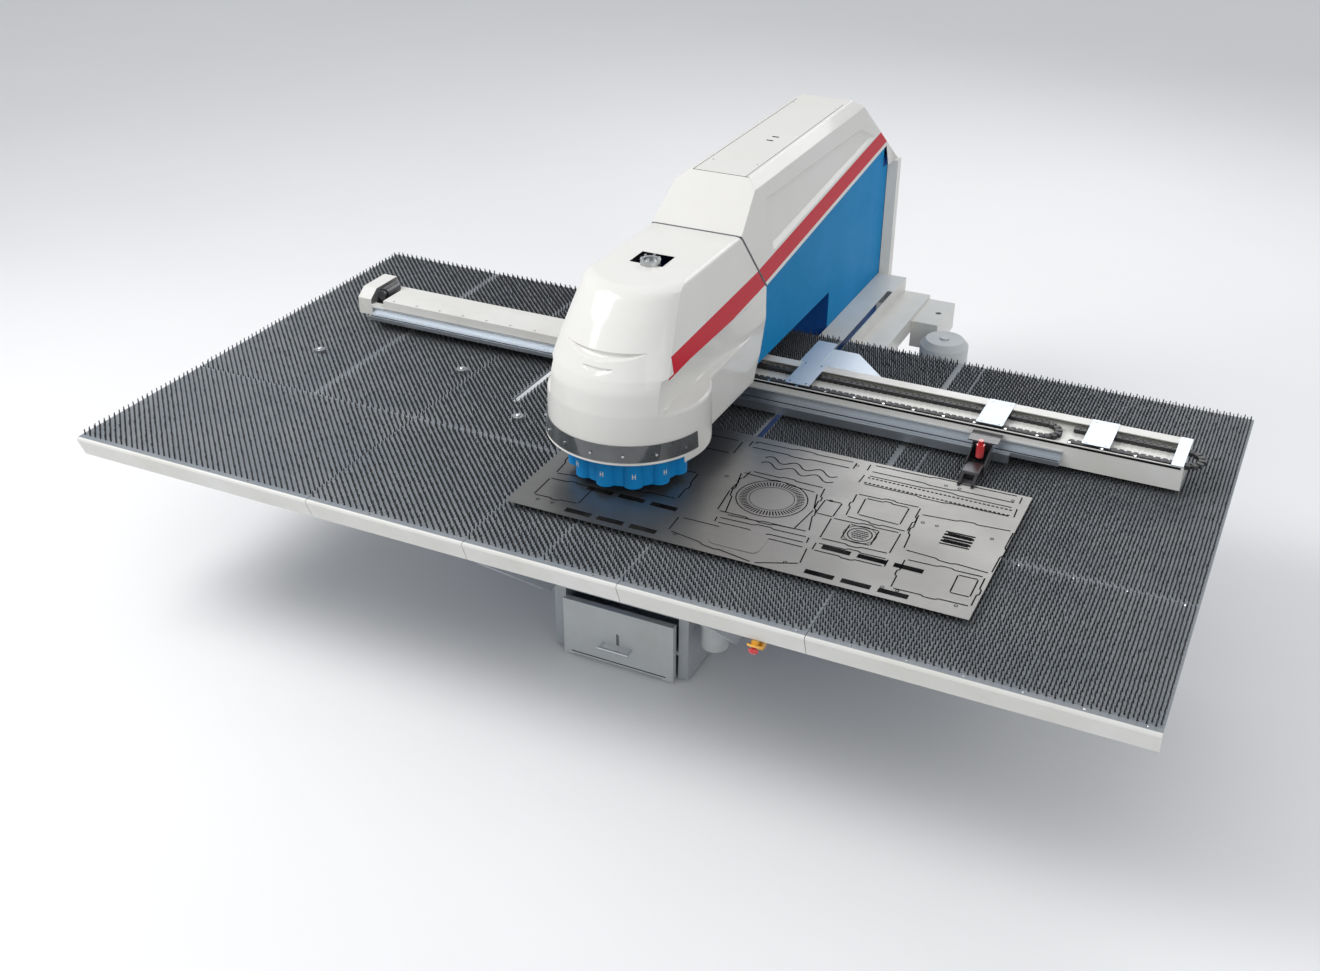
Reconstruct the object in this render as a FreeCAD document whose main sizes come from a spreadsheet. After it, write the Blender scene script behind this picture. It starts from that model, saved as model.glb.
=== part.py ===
import FreeCAD, Part
import math, os, re
import Sketcher
from FreeCAD import Placement, Rotation, Vector

# CNC turret punch press. Millimetres, +X to the right along the table's front edge, +Y from the
# front to the back, +Z up. The origin lies on the floor under the middle of the whole machine.
# In the text below "across" is X, "back" is Y counted from the table's front edge and "up" is Z
# counted from the top of the table plates.

doc = FreeCAD.newDocument("TurretPunchPress")

SIZES = {
    # brush table
    "table_width": 4840, "table_depth": 2567, "table_top": 950, "plate_thick": 6, "seam_gap": 3,
    "row_split": 835, "seam_inner": 352, "seam_outer": 1133, "brush_tall": 28, "brush_rim": 22,
    "seam_bare": 10, "strip_left": 1712, "strip_right": 1012, "strip_half": 14, "slot_right": 385,
    "slot_left": 810, "slot_wide": 30, "slot_front": 1200, "slot_back": 3320, "fascia_tall": 100,
    "fascia_lean": 35, "fascia_thick": 10, "fascia_nose": 12, "ball_size": 13, "cup_size": 28,
    "cup_tall": 18, "screw_size": 4, "screw_tall": 2, "tube_wide": 60, "bearer_tall": 60,
    "rail_inset": 70, "fit_gap": 0.3,
    # C-frame and its covers
    "frame_half": 232, "frame_wall": 40, "frame_back": 3600, "arm_front": 700, "arm_up": -200,
    "bay_up": -600, "bay_back": 1200, "column_front": 2700, "throat_up": 198, "frame_up": 700,
    "shoulder_back": 1500, "nose_half": 190, "nose_front": 740, "nose_low": 400, "nose_up": 780,
    "foot_tall": 50, "panel_thick": 3, "cover_back": 3660, "cover_wall": 4, "cover_low": 580,
    "cover_low_half": 273, "cover_high": 1050, "cover_high_half": 197, "cover_top": 1090,
    "cover_top_half": 145, "band_half": 285, "seam_back": 1490, "seam_up": 905, "seam_low_back": 1697,
    "seam_low_up": 608, "cover_gap": 6, "slope_back": 1745, "rear_slope_back": 3150,
    "rear_slope_up": 660, "stripe_end_back": 3500,
    "stripe_end_up": 768,
    # turret, ram and head
    "turret_back": 830, "ram_back": 1030, "drum_size": 355, "drum_low": 240, "drum_high": 445,
    "skirt_half": 290, "skirt_back": 1520, "waist_half": 250, "waist_up": 590, "rim_low": 228,
    "skirt_low": 200, "mouth_reach": 140, "rim_wide": 8, "rim_lip": 34, "turret_size": 225, "lobe_size": 45, "turret_low": 65,
    "turret_high": 195,
    "stations": 12, "station_ring": 200, "station_size": 32, "punch_flange": 37, "hub_size": 40,
    "hub_flange": 62, "pulley_size": 110, "pulley_high": 235, "motor_across": 255, "motor_pulley": 28,
    "motor_size": 50, "lower_size": 250, "lower_low": -100, "lower_high": 0, "ram_size": 30,
    "ram_low": 240, "ram_stroke": 34, "cylinder_size": 75, "cylinder_cap": 45, "cylinder_up": 925,
    "window_half": 80, "window_front": 985, "window_back": 1115, "slug_size": 60,
    # cross beam, guide, covers and energy chains
    "beam_back": 1592, "beam_left": 2020, "beam_right": 2212, "beam_low": 40, "guide_left": 1925,
    "guide_right": 1705, "guide_low": 62, "guide_high": 112, "guide_deep": 54, "beam_deep": 280,
    "tray_high": 154, "tray_floor": 118, "tray_thick": 4, "lip_wide": 60, "cover_left": 1857,
    "cover_right": 120, "end_wide": 80, "end_high": 190, "chain_wide": 40, "chain_tall": 20,
    "chain_turn": 65, "bridge_wide": 120, "arm_thick": 12, "arm_start": 360, "arm_end": 600,
    "block_tall": 30, "track_tall": 20, "carrier_tall": 80, "carrier_wide": 80,
    # clamp carriage and workpiece
    "bar_left": 450, "bar_right": 1490, "bar_low": 33, "bar_thick": 16, "clamp_first": 1375,
    "clamp_pitch": 1480, "clamp_wide": 88, "clamp_plate": 134, "jaw_reach": 292,
    "jaw_wide": 74, "sheet_left": -340, "sheet_wide": 2000, "sheet_deep": 1000, "sheet_front": 326,
    "sheet_thick": 1.5, "sheet_up": 31.5, "tongue_up": 31.2,
    # lower front, drive housings and emergency stop
    "drawer_left": 262, "drawer_right": 298, "drawer_front": 655, "drawer_high": -640,
    "drawer_thick": 12, "drawer_deep": 480, "bin_wall": 3, "drawer_clear": 8, "handle_wide": 158,
    "handle_out": 42, "handle_size": 8, "cheek_gap": 8, "cheek_thick": 12, "column_across": 455,
    "column_round": 62, "strut_size": 45, "housing_deep": 170, "housing_wide": 168, "step_down": 80,
    "low_down": 100, "step_wide": 150, "drum_across": 790, "drum_back": 3050, "drum_round": 130,
    "stop_across": 925, "stop_size": 20, "collar_size": 31, "stop_travel": 6,
}

sheet = doc.addObject("Spreadsheet::Sheet", "Dims")
for row, (name, value) in enumerate(SIZES.items(), 1):
    sheet.set(f"A{row}", name)
    sheet.set(f"B{row}", str(value))
    sheet.setAlias(f"B{row}", name)
doc.recompute()

MIDDLE = "cover_back / 2"
PARTS = []


def bound(text):
    """Point every size named in an expression at its cell."""
    return re.sub(r"[a-z]\w+", lambda word: "Dims." + word[0] if word[0] in SIZES else word[0], str(text))


def size(name):
    return float(sheet.get(name))


def tie(item, **sizes):
    for prop, text in sizes.items():
        item.setExpression(prop.replace("_", "."), bound(text))


def place(item, across, back, up):
    """Put an item's own origin at a place on the machine."""
    item.setExpression("Placement.Base.x", bound(across))
    item.setExpression("Placement.Base.y", bound(f"{back} - {MIDDLE}"))
    item.setExpression("Placement.Base.z", bound(f"{up} + table_top"))
    return item


def block(name, across, back, up):
    """A box between two planes on each axis."""
    box = doc.addObject("Part::Box", name)
    tie(box, Length=f"({across[1]}) - ({across[0]})", Width=f"({back[1]}) - ({back[0]})",
        Height=f"({up[1]}) - ({up[0]})")
    return place(box, f"({across[0]})", f"({back[0]})", f"({up[0]})")


TURNS = {"up": Rotation(), "across": Rotation(Vector(0, 1, 0), 90), "back": Rotation(Vector(1, 0, 0), -90)}


def rod(name, radius, length, across, back, up, way="up"):
    """A round bar that starts at a place and runs up, across or to the back."""
    bar = doc.addObject("Part::Cylinder", name)
    bar.Placement = Placement(Vector(), TURNS[way])
    tie(bar, Radius=radius, Height=length)
    return place(bar, f"({across})", f"({back})", f"({up})")


def fuse(name, *items):
    joined = doc.addObject("Part::MultiFuse", name)
    joined.Shapes = list(items)
    joined.Refine = True
    return joined


def cut(name, base, *tools):
    cutting = doc.addObject("Part::Cut", name)
    cutting.Base = base
    cutting.Tool = tools[0] if len(tools) == 1 else fuse(name + "Tools", *tools)
    return cutting


def group(name, *items):
    """Separate solids that share one file, such as like fasteners."""
    together = doc.addObject("Part::Compound", name)
    together.Links = list(items)
    return together


def finish(item, label):
    item.Label = label
    PARTS.append(item)
    return item


def outline(body, role, corners):
    """A closed sketch outline whose corners are all bound to sizes."""
    plane = next(item for item in body.Origin.OriginFeatures if item.Role == role)
    sketch = body.newObject("Sketcher::SketchObject", body.Name + "Outline")
    sketch.AttachmentSupport = [(plane, "")]
    sketch.MapMode = "FlatFace"
    count = len(corners)
    ring = [Vector(100 * math.cos(math.tau * step / count), 100 * math.sin(math.tau * step / count), 0)
            for step in range(count)]
    for step in range(count):
        sketch.addGeometry(Part.LineSegment(ring[step], ring[(step + 1) % count]), False)
    for step in range(count):
        sketch.addConstraint(Sketcher.Constraint("Coincident", step, 2, (step + 1) % count, 1))
    for step, (first, second) in enumerate(corners):
        for kind, spot, text in (("DistanceX", ring[step].x, first), ("DistanceY", ring[step].y, second)):
            number = sketch.addConstraint(Sketcher.Constraint(kind, -1, 1, step, 1, spot))
            sketch.setExpression(f"Constraints[{number}]", bound(text))
    return sketch


def side_pad(name, corners, across):
    """A side outline of (back, up) corners made solid between two planes across."""
    body = doc.addObject("PartDesign::Body", name)
    sketch = outline(body, "YZ_Plane", corners)
    pad = body.newObject("PartDesign::Pad", name + "Pad")
    pad.Profile = sketch
    pad.setExpression("Length", bound(f"({across[1]}) - ({across[0]})"))
    return place(body, f"({across[0]})", "0", "0")


def plan_pad(name, corners, up):
    """A plan outline of (across, back) corners made solid between two levels."""
    body = doc.addObject("PartDesign::Body", name)
    sketch = outline(body, "XY_Plane", corners)
    pad = body.newObject("PartDesign::Pad", name + "Pad")
    pad.Profile = sketch
    pad.setExpression("Length", bound(f"({up[1]}) - ({up[0]})"))
    return place(body, "0", "0", f"({up[0]})")


def turned(name, corners, across, back):
    """A turned piece: (radius, up) corners spun about an upright axis."""
    body = doc.addObject("PartDesign::Body", name)
    sketch = outline(body, "XZ_Plane", corners)
    spin = body.newObject("PartDesign::Revolution", name + "Spin")
    spin.Profile = sketch
    spin.ReferenceAxis = (sketch, ["V_Axis"])
    spin.Angle = 360
    return place(body, f"({across})", f"({back})", "0")


def tube_along(name, across, back, up, wall="4"):
    """A square tube that runs to the back, open at its ends."""
    outer = block(name + "Outer", across, back, up)
    bore = block(name + "Bore", (f"{across[0]} + {wall}", f"{across[1]} - {wall}"), back,
                 (f"{up[0]} + {wall}", f"{up[1]} - {wall}"))
    return cut(name, outer, bore)


def tube_across(name, across, back, up, wall="4"):
    """A square tube that runs across, open at its ends."""
    outer = block(name + "Outer", across, back, up)
    bore = block(name + "Bore", across, (f"{back[0]} + {wall}", f"{back[1]} - {wall}"),
                 (f"{up[0]} + {wall}", f"{up[1]} - {wall}"))
    return cut(name, outer, bore)


# ---------------------------------------------------------------- brush table
HALF = "table_width / 2"
FRONT_SEAMS = [f"-{HALF}", "-seam_outer", "-seam_inner", "seam_inner", "seam_outer", HALF]
TURRET_WELL = "lower_size + 12"


def turret_well(name):
    return rod(name, TURRET_WELL, "400", "0", "turret_back", "-200")


def front_plates():
    plates = []
    for number, (left, right) in enumerate(zip(FRONT_SEAMS, FRONT_SEAMS[1:])):
        start = left if number == 0 else f"{left} + seam_gap / 2"
        end = right if number == 4 else f"{right} - seam_gap / 2"
        plate = block(f"FrontPlate{number}", (start, end), ("fascia_nose", "row_split - seam_gap / 2"),
                      ("-plate_thick", "0"))
        plates.append(cut("FrontPlateWell", plate, turret_well("FrontWell")) if number == 2 else plate)
    return finish(group("FrontPlates", *plates), "front_table_plates")


def slot_tool(name, across, grow="0"):
    return block(name, (f"{across} - slot_wide / 2 - {grow}", f"{across} + slot_wide / 2 + {grow}"),
                 ("slot_front", "slot_back"), ("-200", "200"))


def rear_plates():
    back = ("row_split + seam_gap / 2", "table_depth")
    up = ("-plate_thick", "0")
    left = block("RearPlateLeft", (f"-{HALF}", "-seam_outer - seam_gap / 2"), back, up)
    right = block("RearPlateRight", ("seam_outer + seam_gap / 2", HALF), back, up)
    middle = block("RearPlateMiddle", ("-seam_outer + seam_gap / 2", "seam_outer - seam_gap / 2"), back, up)
    middle = cut("RearPlateCut", middle, turret_well("RearWell"), slot_tool("RearSlotLeft", "-slot_left"),
                 slot_tool("RearSlotRight", "slot_right"))
    return finish(group("RearPlates", left, middle, right), "rear_table_plates")


BALL_PLACES = [(-1989, 1250), (-1210, 1369), (700, 1150), (-700, 1050)]


def brush_field(name, across, back):
    return block(name, across, back, ("0", "brush_tall"))


def front_brushes():
    back = ("fascia_nose + brush_rim", "row_split - seam_bare")
    edges = [(f"-{HALF} + seam_bare", "-seam_outer - seam_bare"),
             ("-seam_outer + seam_bare", "-seam_inner - seam_bare"),
             ("-seam_inner + seam_bare", "-seam_bare"), ("seam_bare", "seam_inner - seam_bare"),
             ("seam_inner + seam_bare", "seam_outer - seam_bare"),
             ("seam_outer + seam_bare", f"{HALF} - seam_bare")]
    fields = [brush_field(f"FrontBrush{number}", across, back) for number, across in enumerate(edges)]
    fields[2] = cut("FrontBrushLeftWell", fields[2], turret_well("BrushWellA"))
    fields[3] = cut("FrontBrushRightWell", fields[3], turret_well("BrushWellB"))
    return finish(group("FrontBrushes", *fields), "front_brushes")


def rear_brushes():
    back = ("row_split + seam_bare", "table_depth - seam_bare")
    edges = [(f"-{HALF} + seam_bare", "-strip_left - strip_half"),
             ("-strip_left + strip_half", "-seam_outer - seam_bare"),
             ("-seam_outer + seam_bare", "strip_right - strip_half"),
             ("strip_right + strip_half", "seam_outer - seam_bare"),
             ("seam_outer + seam_bare", f"{HALF} - seam_bare")]
    fields = [brush_field(f"RearBrush{number}", across, back) for number, across in enumerate(edges)]
    wells = [rod(f"BallWell{number}", "cup_size + 6", "brush_tall + 2", across, back_to, "-1")
             for number, (across, back_to) in enumerate(BALL_PLACES)]
    fields[0] = cut("RearBrushFar", fields[0], wells[0])
    fields[1] = cut("RearBrushNear", fields[1], wells[1])
    fields[2] = cut("RearBrushMiddle", fields[2], turret_well("BrushWellC"),
                    slot_tool("BrushSlotLeft", "-slot_left", "6"),
                    slot_tool("BrushSlotRight", "slot_right", "6"), *wells[2:])
    return finish(group("RearBrushes", *fields), "rear_brushes")


def ball_transfers():
    cups = []
    balls = []
    for number, (across, back) in enumerate(BALL_PLACES):
        cup = rod(f"Cup{number}", "cup_size", "cup_tall", across, back, "0")
        hollow = doc.addObject("Part::Sphere", f"CupHollow{number}")
        tie(hollow, Radius="ball_size + fit_gap")
        place(hollow, across, back, "brush_tall - ball_size")
        cups.append(cut(f"CupShell{number}", cup, hollow))
        ball = doc.addObject("Part::Sphere", f"Ball{number}")
        tie(ball, Radius="ball_size")
        balls.append(place(ball, across, back, "brush_tall - ball_size"))
    finish(group("BallCups", *cups), "ball_cups")
    return finish(group("Balls", *balls), "transfer_balls")


def plate_screws():
    """Pan-head screws along the bare strips of the plates."""
    screws = []
    rows = (("fascia_nose + 12", "0"), ("row_split - 5.6", "0"))
    for line, (back, up) in enumerate(rows):
        for column in range(-11, 12):
            across = f"{column} * {HALF} / 11.4 + 30"
            if line == 1 and abs(column) < 2:
                continue
            screws.append(rod(f"Screw{line}x{column + 11}", "screw_size", "screw_tall", across, back, up))
    return finish(group("Screws", *screws), "plate_screws")


def front_fascia():
    """Folded front edge strip in five lengths, rounded at the top and leaning in to its bottom."""
    strips = []
    corners = [("0", "-fascia_nose"), ("fascia_nose * 0.29", "-fascia_nose * 0.29"),
               ("fascia_nose - 0.3", "0"),
               ("fascia_nose - 0.3", "-fascia_thick"), ("fascia_thick", "-fascia_nose"),
               ("fascia_lean + fascia_thick", "-fascia_tall"), ("fascia_lean", "-fascia_tall")]
    for number, (left, right) in enumerate(zip(FRONT_SEAMS, FRONT_SEAMS[1:])):
        start = left if number == 0 else f"{left} + seam_gap / 2"
        end = right if number == 4 else f"{right} - seam_gap / 2"
        strips.append(side_pad(f"Fascia{number}", corners, (start, end)))
    return finish(group("FasciaStrips", *strips), "front_fascia")


def table_bearers():
    """Tubes to the back under the plates."""
    places = [f"-{HALF} + tube_wide", "-strip_left", "-seam_outer", "-seam_outer / 2", "seam_outer / 2",
              "seam_outer", "strip_left", f"{HALF} - tube_wide"]
    tubes = [tube_along(f"Bearer{number}", (f"{middle} - tube_wide / 2", f"{middle} + tube_wide / 2"),
                        ("rail_inset - 20", "table_depth - 10"),
                        ("-plate_thick - bearer_tall", "-plate_thick"))
             for number, middle in enumerate(places)]
    return tubes


RAIL_UP = ("-plate_thick - bearer_tall * 2", "-plate_thick - bearer_tall")


def table_rails():
    """Tubes across under the bearers: one in front, two short of the frame at the back."""
    front = tube_across("RailFront", (f"-{HALF} + 20", f"{HALF} - 20"),
                        ("rail_inset", "rail_inset + tube_wide"), RAIL_UP)
    back = ("table_depth - tube_wide - 30", "table_depth - 30")
    left = tube_across("RailRearLeft", (f"-{HALF} + 20", "-slot_left - 60"), back, RAIL_UP)
    right = tube_across("RailRearRight", ("slot_right + 60", f"{HALF} - 20"), back, RAIL_UP)
    return [front, left, right]


def table_frame():
    return finish(group("TableFrame", *table_bearers(), *table_rails()), "table_frame")


# ---------------------------------------------------------------- C-frame, rails of the cross beam
FLOOR = "-table_top"


def frame_outline(inset):
    """Side outline of the wide weldment, moved in by a plate's thickness."""
    grow = f" + {inset}"
    less = f" - {inset}"
    return [("arm_front" + grow, "bay_up" + grow), ("bay_back" + grow, "bay_up" + grow),
            ("bay_back" + grow, FLOOR + " + foot_tall" + grow),
            ("frame_back" + less, FLOOR + " + foot_tall" + grow),
            ("frame_back" + less, "frame_up" + less), ("shoulder_back" + grow, "frame_up" + less),
            ("shoulder_back" + grow, "throat_up" + grow), ("column_front" + grow, "throat_up" + grow),
            ("column_front" + grow, "arm_up" + less), ("arm_front" + grow, "arm_up" + less)]


def c_frame():
    wide = side_pad("FrameWide", frame_outline("0"), ("-frame_half", "frame_half"))
    hollow = side_pad("FrameHollow", frame_outline("frame_wall"),
                      ("-frame_half + frame_wall", "frame_half - frame_wall"))
    nose = side_pad("FrameNose", [("nose_front", "nose_low"), ("shoulder_back + 200", "nose_low"),
                                  ("shoulder_back + 200", "nose_up"), ("nose_front + 60", "nose_up"),
                                  ("nose_front", "nose_up - 90")], ("-nose_half", "nose_half"))
    slug = rod("SlugHole", "slug_size", "-bay_up + 10", "0", "ram_back", "bay_up - 5")
    bore = rod("CylinderBore", "cylinder_size + fit_gap", "nose_up - nose_low + 10", "0", "ram_back",
               "nose_low - 5")
    shell = cut("FrameShell", wide, hollow)
    ears = [block("FrameEar" + side, across, ("shoulder_back", "shoulder_back + 28"),
                  ("waist_up - 130", "waist_up - 60"))
            for side, across in (("L", ("-waist_half + cover_wall + fit_gap", "-frame_half")),
                                 ("R", ("frame_half", "waist_half - cover_wall - fit_gap")))]
    posts = [block(f"CoverPost{number}", ("-60", "60"), (back, f"{back} + 30"),
                   ("frame_up", "cover_top - cover_wall * 1.25 - fit_gap"))
             for number, back in enumerate(("slope_back + 60", "rear_slope_back - 35"))]
    return finish(cut("Frame", fuse("FrameJoined", shell, nose, *ears, *posts), slug, bore), "c_frame")


def side_panels():
    corners = [("shoulder_back + 30", "throat_up + 2"), ("column_front", "throat_up + 2"),
               ("column_front", "arm_up"), ("frame_back - 35", "arm_up"),
               ("frame_back - 35", "rear_slope_up - 12"),
               ("stripe_end_back - 12", "rear_slope_up - 12"),
               ("stripe_end_back - 12", "stripe_end_up - 10"),
               ("shoulder_back + 30", "seam_low_up - 10")]
    left = side_pad("PanelLeft", corners, ("-frame_half - panel_thick", "-frame_half"))
    right = side_pad("PanelRight", corners, ("frame_half", "frame_half + panel_thick"))
    return finish(group("SidePanels", left, right), "side_panels")


def levelling_feet():
    corners = [("0", FLOOR), ("60", FLOOR), ("60", FLOOR + " + 14"), ("22", FLOOR + " + 24"),
               ("12", FLOOR + " + 24"), ("12", FLOOR + " + foot_tall"), ("0", FLOOR + " + foot_tall")]
    feet = []
    for number, back in enumerate(("bay_back + 90", "column_front - 400", "frame_back - 90")):
        for side, across in (("L", "-frame_half + 70"), ("R", "frame_half - 70")):
            feet.append(turned(f"Foot{side}{number}", corners, across, back))
    return finish(group("Feet", *feet), "levelling_feet")


CARRIER_UP = "arm_up + 20"
TRACKS = (("Left", "-slot_left"), ("Right", "slot_right"))


def rail_carriers():
    """Two beams beside the frame that carry the long rails, and the arms that hold them off it."""
    pieces = []
    for side, middle in TRACKS:
        pieces.append(tube_along("Carrier" + side, (f"{middle} - carrier_wide / 2",
                                                    f"{middle} + carrier_wide / 2"),
                                 ("slot_front - 50", "slot_back + 30"),
                                 (f"{CARRIER_UP} - carrier_tall", CARRIER_UP), "6"))
    under = (f"{CARRIER_UP} - carrier_tall * 2", f"{CARRIER_UP} - carrier_tall")
    for number, (back, reach_left, reach_right) in enumerate((("slot_front + 60", "slot_left + 40",
                                                               "slot_right + 40"),
                                                              ("table_depth - 90", "slot_left + 130",
                                                               "slot_right + 130"),
                                                              ("drum_back - 30", "slot_left + 40",
                                                               "drum_across + 90"))):
        span = (back, f"{back} + tube_wide")
        pieces.append(tube_across(f"OutLeft{number}", (f"-({reach_left})", "-frame_half"), span, under,
                                  "5"))
        pieces.append(tube_across(f"OutRight{number}", ("frame_half", reach_right), span, under, "5"))
    for side, start in (("L", "-slot_left - 130"), ("R", "slot_right + 130 - tube_wide")):
        pieces.append(block("Post" + side, (start, start + " + tube_wide"),
                            ("table_depth - 90", "table_depth - 30"),
                            (f"{CARRIER_UP} - carrier_tall", RAIL_UP[0])))
    return finish(group("Carriers", *pieces), "rail_carriers")


def beam_tracks():
    tracks = [block("Track" + side, (f"{middle} - 7", f"{middle} + 7"),
                    ("slot_front - 30", "slot_back + 20"),
                    (CARRIER_UP, f"{CARRIER_UP} + track_tall")) for side, middle in TRACKS]
    return finish(group("Tracks", *tracks), "beam_tracks")


# ---------------------------------------------------------------- head and rear covers
def head_levels():
    """Plan of the head above its drum: level, nose radius, nose centre and half width."""
    waist = size("waist_half")
    low = size("drum_high")
    step = size("waist_up")
    lean = (size("cover_low_half") - size("cover_high_half")) / (size("cover_high") - size("cover_low"))

    def half(level):
        return size("cover_low_half") - lean * (level - size("cover_low"))

    drum = size("drum_size")
    centre = size("turret_back")
    top = size("seam_up")
    rise = top - step
    shoulder = [(step, drum - 22, centre + 12), (step + 0.32 * rise, drum - 52, centre + 40),
                (step + 0.64 * rise, drum - 80, centre + 85),
                (step + 0.93 * rise, drum - 100, centre + 140),
                (top, drum - 118, centre + 165)]
    lower = [(low, drum - 4, centre, waist), (step - 50, drum - 10, centre + 4, waist),
             (step, drum - 22, centre + 12, waist)]
    upper = [(level, radius, middle, half(level)) for level, radius, middle in shoulder]
    return lower, upper


def head_ring(level, radius, middle, half, back):
    """A plan wire: the nose arc, two straight sides and the open back edge."""
    reach = middle - math.sqrt(radius ** 2 - half ** 2)
    left, right = Vector(-half, reach, level), Vector(half, reach, level)
    tip = Vector(0, middle - radius, level)
    edges = [Part.Arc(left, tip, right).toShape(), Part.makeLine(right, Vector(half, back, level)),
             Part.makeLine(Vector(half, back, level), Vector(-half, back, level)),
             Part.makeLine(Vector(-half, back, level), left)]
    return Part.Wire(edges)


def head_solid(wall, back):
    """The head's form less a wall: two lofts over a round drum and a straight skirt."""
    lower, upper = head_levels()
    lower[-1] = (lower[-1][0] - wall, *lower[-1][1:])
    upper[-1] = (upper[-1][0] - wall, *upper[-1][1:])
    upper[0] = (upper[0][0] - wall, *upper[0][1:]) if wall else upper[0]
    lofts = [Part.makeLoft([head_ring(level, radius - wall, middle, half - wall, back)
                            for level, radius, middle, half in rings], True, True) for rings in (lower,
                                    upper)]
    low, high = size("skirt_low"), size("drum_high")
    centre = Vector(0, size("turret_back"), low)
    drum = Part.makeCylinder(size("drum_size") - wall, high - low - wall, centre)
    half = size("skirt_half") - wall
    skirt = Part.makeBox(2 * half, back - size("turret_back"), high - low - wall,
                         Vector(-half, size("turret_back"), low))
    neck = head_ring(high - 2 * wall, size("drum_size") - 4 - wall, size("turret_back"),
                     size("waist_half") - wall, back)
    bridge = Part.Face(neck).extrude(Vector(0, 0, 3 * wall + 0.01))
    solids = [drum, skirt] + ([bridge] if wall else [])
    return lofts[0].fuse([lofts[1]] + solids).removeSplitter()


def head_cover():
    """Moulded front hood: nose, drum and skirt in one shell, open below and at its back seam."""
    wall = size("cover_wall")
    far = size("seam_low_back") + 100
    shell = head_solid(0, far).cut(head_solid(wall, far + 10))
    mouth = Part.makeCylinder(size("drum_size") - wall, wall + 2,
                              Vector(0, size("turret_back"), size("skirt_low") - 1))
    lip = Part.makeBox(800, 1000, size("drum_low") - size("skirt_low") + 10,
                       Vector(-400, size("turret_back") - size("mouth_reach") - 1000, size("skirt_low") - 10))
    slope = (size("seam_low_back") - size("seam_back")) / (size("seam_up") - size("seam_low_up"))
    seam = [Vector(0, size("seam_back") - 60 * slope, size("seam_up") + 60),
            Vector(0, size("seam_low_back"), size("seam_low_up")),
            Vector(0, size("seam_low_back") - 95, size("throat_up") + 130),
            Vector(0, size("skirt_back"), size("skirt_low") - 10),
            Vector(0, far + 50, size("skirt_low") - 10), Vector(0, far + 50, size("seam_up") + 60)]
    gone = Part.Face(Part.makePolygon(seam + seam[:1])).extrude(Vector(800, 0, 0))
    gone.translate(Vector(-400, 0, 0))
    half = size("window_half")
    window = Part.makeBox(2 * half, size("window_back") - size("window_front"), 60,
                          Vector(-half, size("window_front"), size("seam_up") - 30))
    cover = doc.addObject("Part::Feature", "HeadCover")
    cover.Shape = shell.cut([gone, mouth, window, lip])
    return finish(place(cover, "0", "0", "0"), "head_cover")


def rear_cover_solid(wall):
    """The rear hood's form less a wall: a leaning cross section cut by its side outline."""
    low, high, top = size("cover_low"), size("cover_high"), size("cover_top")
    halves = (size("cover_low_half") - wall, size("cover_high_half") - wall,
              size("cover_top_half") - wall * 0.6)
    levels = (low, high - wall * 0.4, top - wall)
    section = [Vector(side * half, 0, level) for side, order in ((1, (0, 1, 2)), (-1, (2, 1, 0)))
               for half, level in ((halves[step], levels[step]) for step in order)]
    body = Part.Face(Part.makePolygon(section + section[:1])).extrude(Vector(0, size("cover_back") + 50, 0))
    gap = size("cover_gap")
    start, crease = (size("seam_back") + gap, size("seam_up")), (size("slope_back"), top)
    back, back_low = size("cover_back"), size("rear_slope_up")
    if wall:
        drop = wall * 1.25
        rise = (crease[1] - start[1]) / (crease[0] - start[0])
        side = [(start[0] - 60, start[1] - 60 * rise - drop), (crease[0], crease[1] - drop),
                (size("rear_slope_back"), top - drop), (back - wall, back_low + 5 - wall),
                (back - wall, low - 30),
                (start[0] - 60, low - 30)]
    else:
        side = [start, (crease[0], top + 1), (size("rear_slope_back"), top + 1), (back, back_low + 5),
                (back, back_low + 0.3), (size("stripe_end_back"), back_low + 0.3),
                (size("stripe_end_back"), size("stripe_end_up")),
                (size("seam_low_back") + gap, size("seam_low_up"))]
    corners = [Vector(-400, along, up) for along, up in side]
    prism = Part.Face(Part.makePolygon(corners + corners[:1])).extrude(Vector(800, 0, 0))
    return body.common(prism)


def rear_cover():
    cover = doc.addObject("Part::Feature", "RearCover")
    cover.Shape = rear_cover_solid(0).cut(rear_cover_solid(size("cover_wall")))
    return finish(place(cover, "0", "0", "0"), "rear_cover")


def rear_band():
    """Back door with returned edges that stand out past the side panels."""
    corners = [("-band_half", "cover_back"), ("band_half", "cover_back"), ("band_half", "frame_back"),
               ("frame_half + panel_thick + 1", "frame_back - 30"),
               ("frame_half + panel_thick + 1", "frame_back + 1"),
               ("-frame_half - panel_thick - 1", "frame_back + 1"),
               ("-frame_half - panel_thick - 1", "frame_back - 30"),
               ("-band_half", "frame_back")]
    return finish(plan_pad("RearBand", corners, (FLOOR + " + foot_tall + 20", "rear_slope_up")),
                  "rear_band")


def drum_rim():
    """White ring under the drum's raised front edge, between the deeper sides."""
    corners = [("drum_size - rim_lip", "rim_low"), ("drum_size + rim_wide / 2", "rim_low"),
               ("drum_size + rim_wide", "rim_low + 5"), ("drum_size + rim_wide / 2", "drum_low"),
               ("drum_size - rim_lip", "drum_low")]
    ring = turned("RimRing", corners, "0", "turret_back")
    behind = block("RimBehind", ("-drum_size - 40", "drum_size + 40"),
                   ("turret_back - mouth_reach - 1", "turret_back + 500"), ("rim_low - 10", "drum_low + 10"))
    return finish(cut("DrumRim", ring, behind), "drum_rim")


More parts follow.
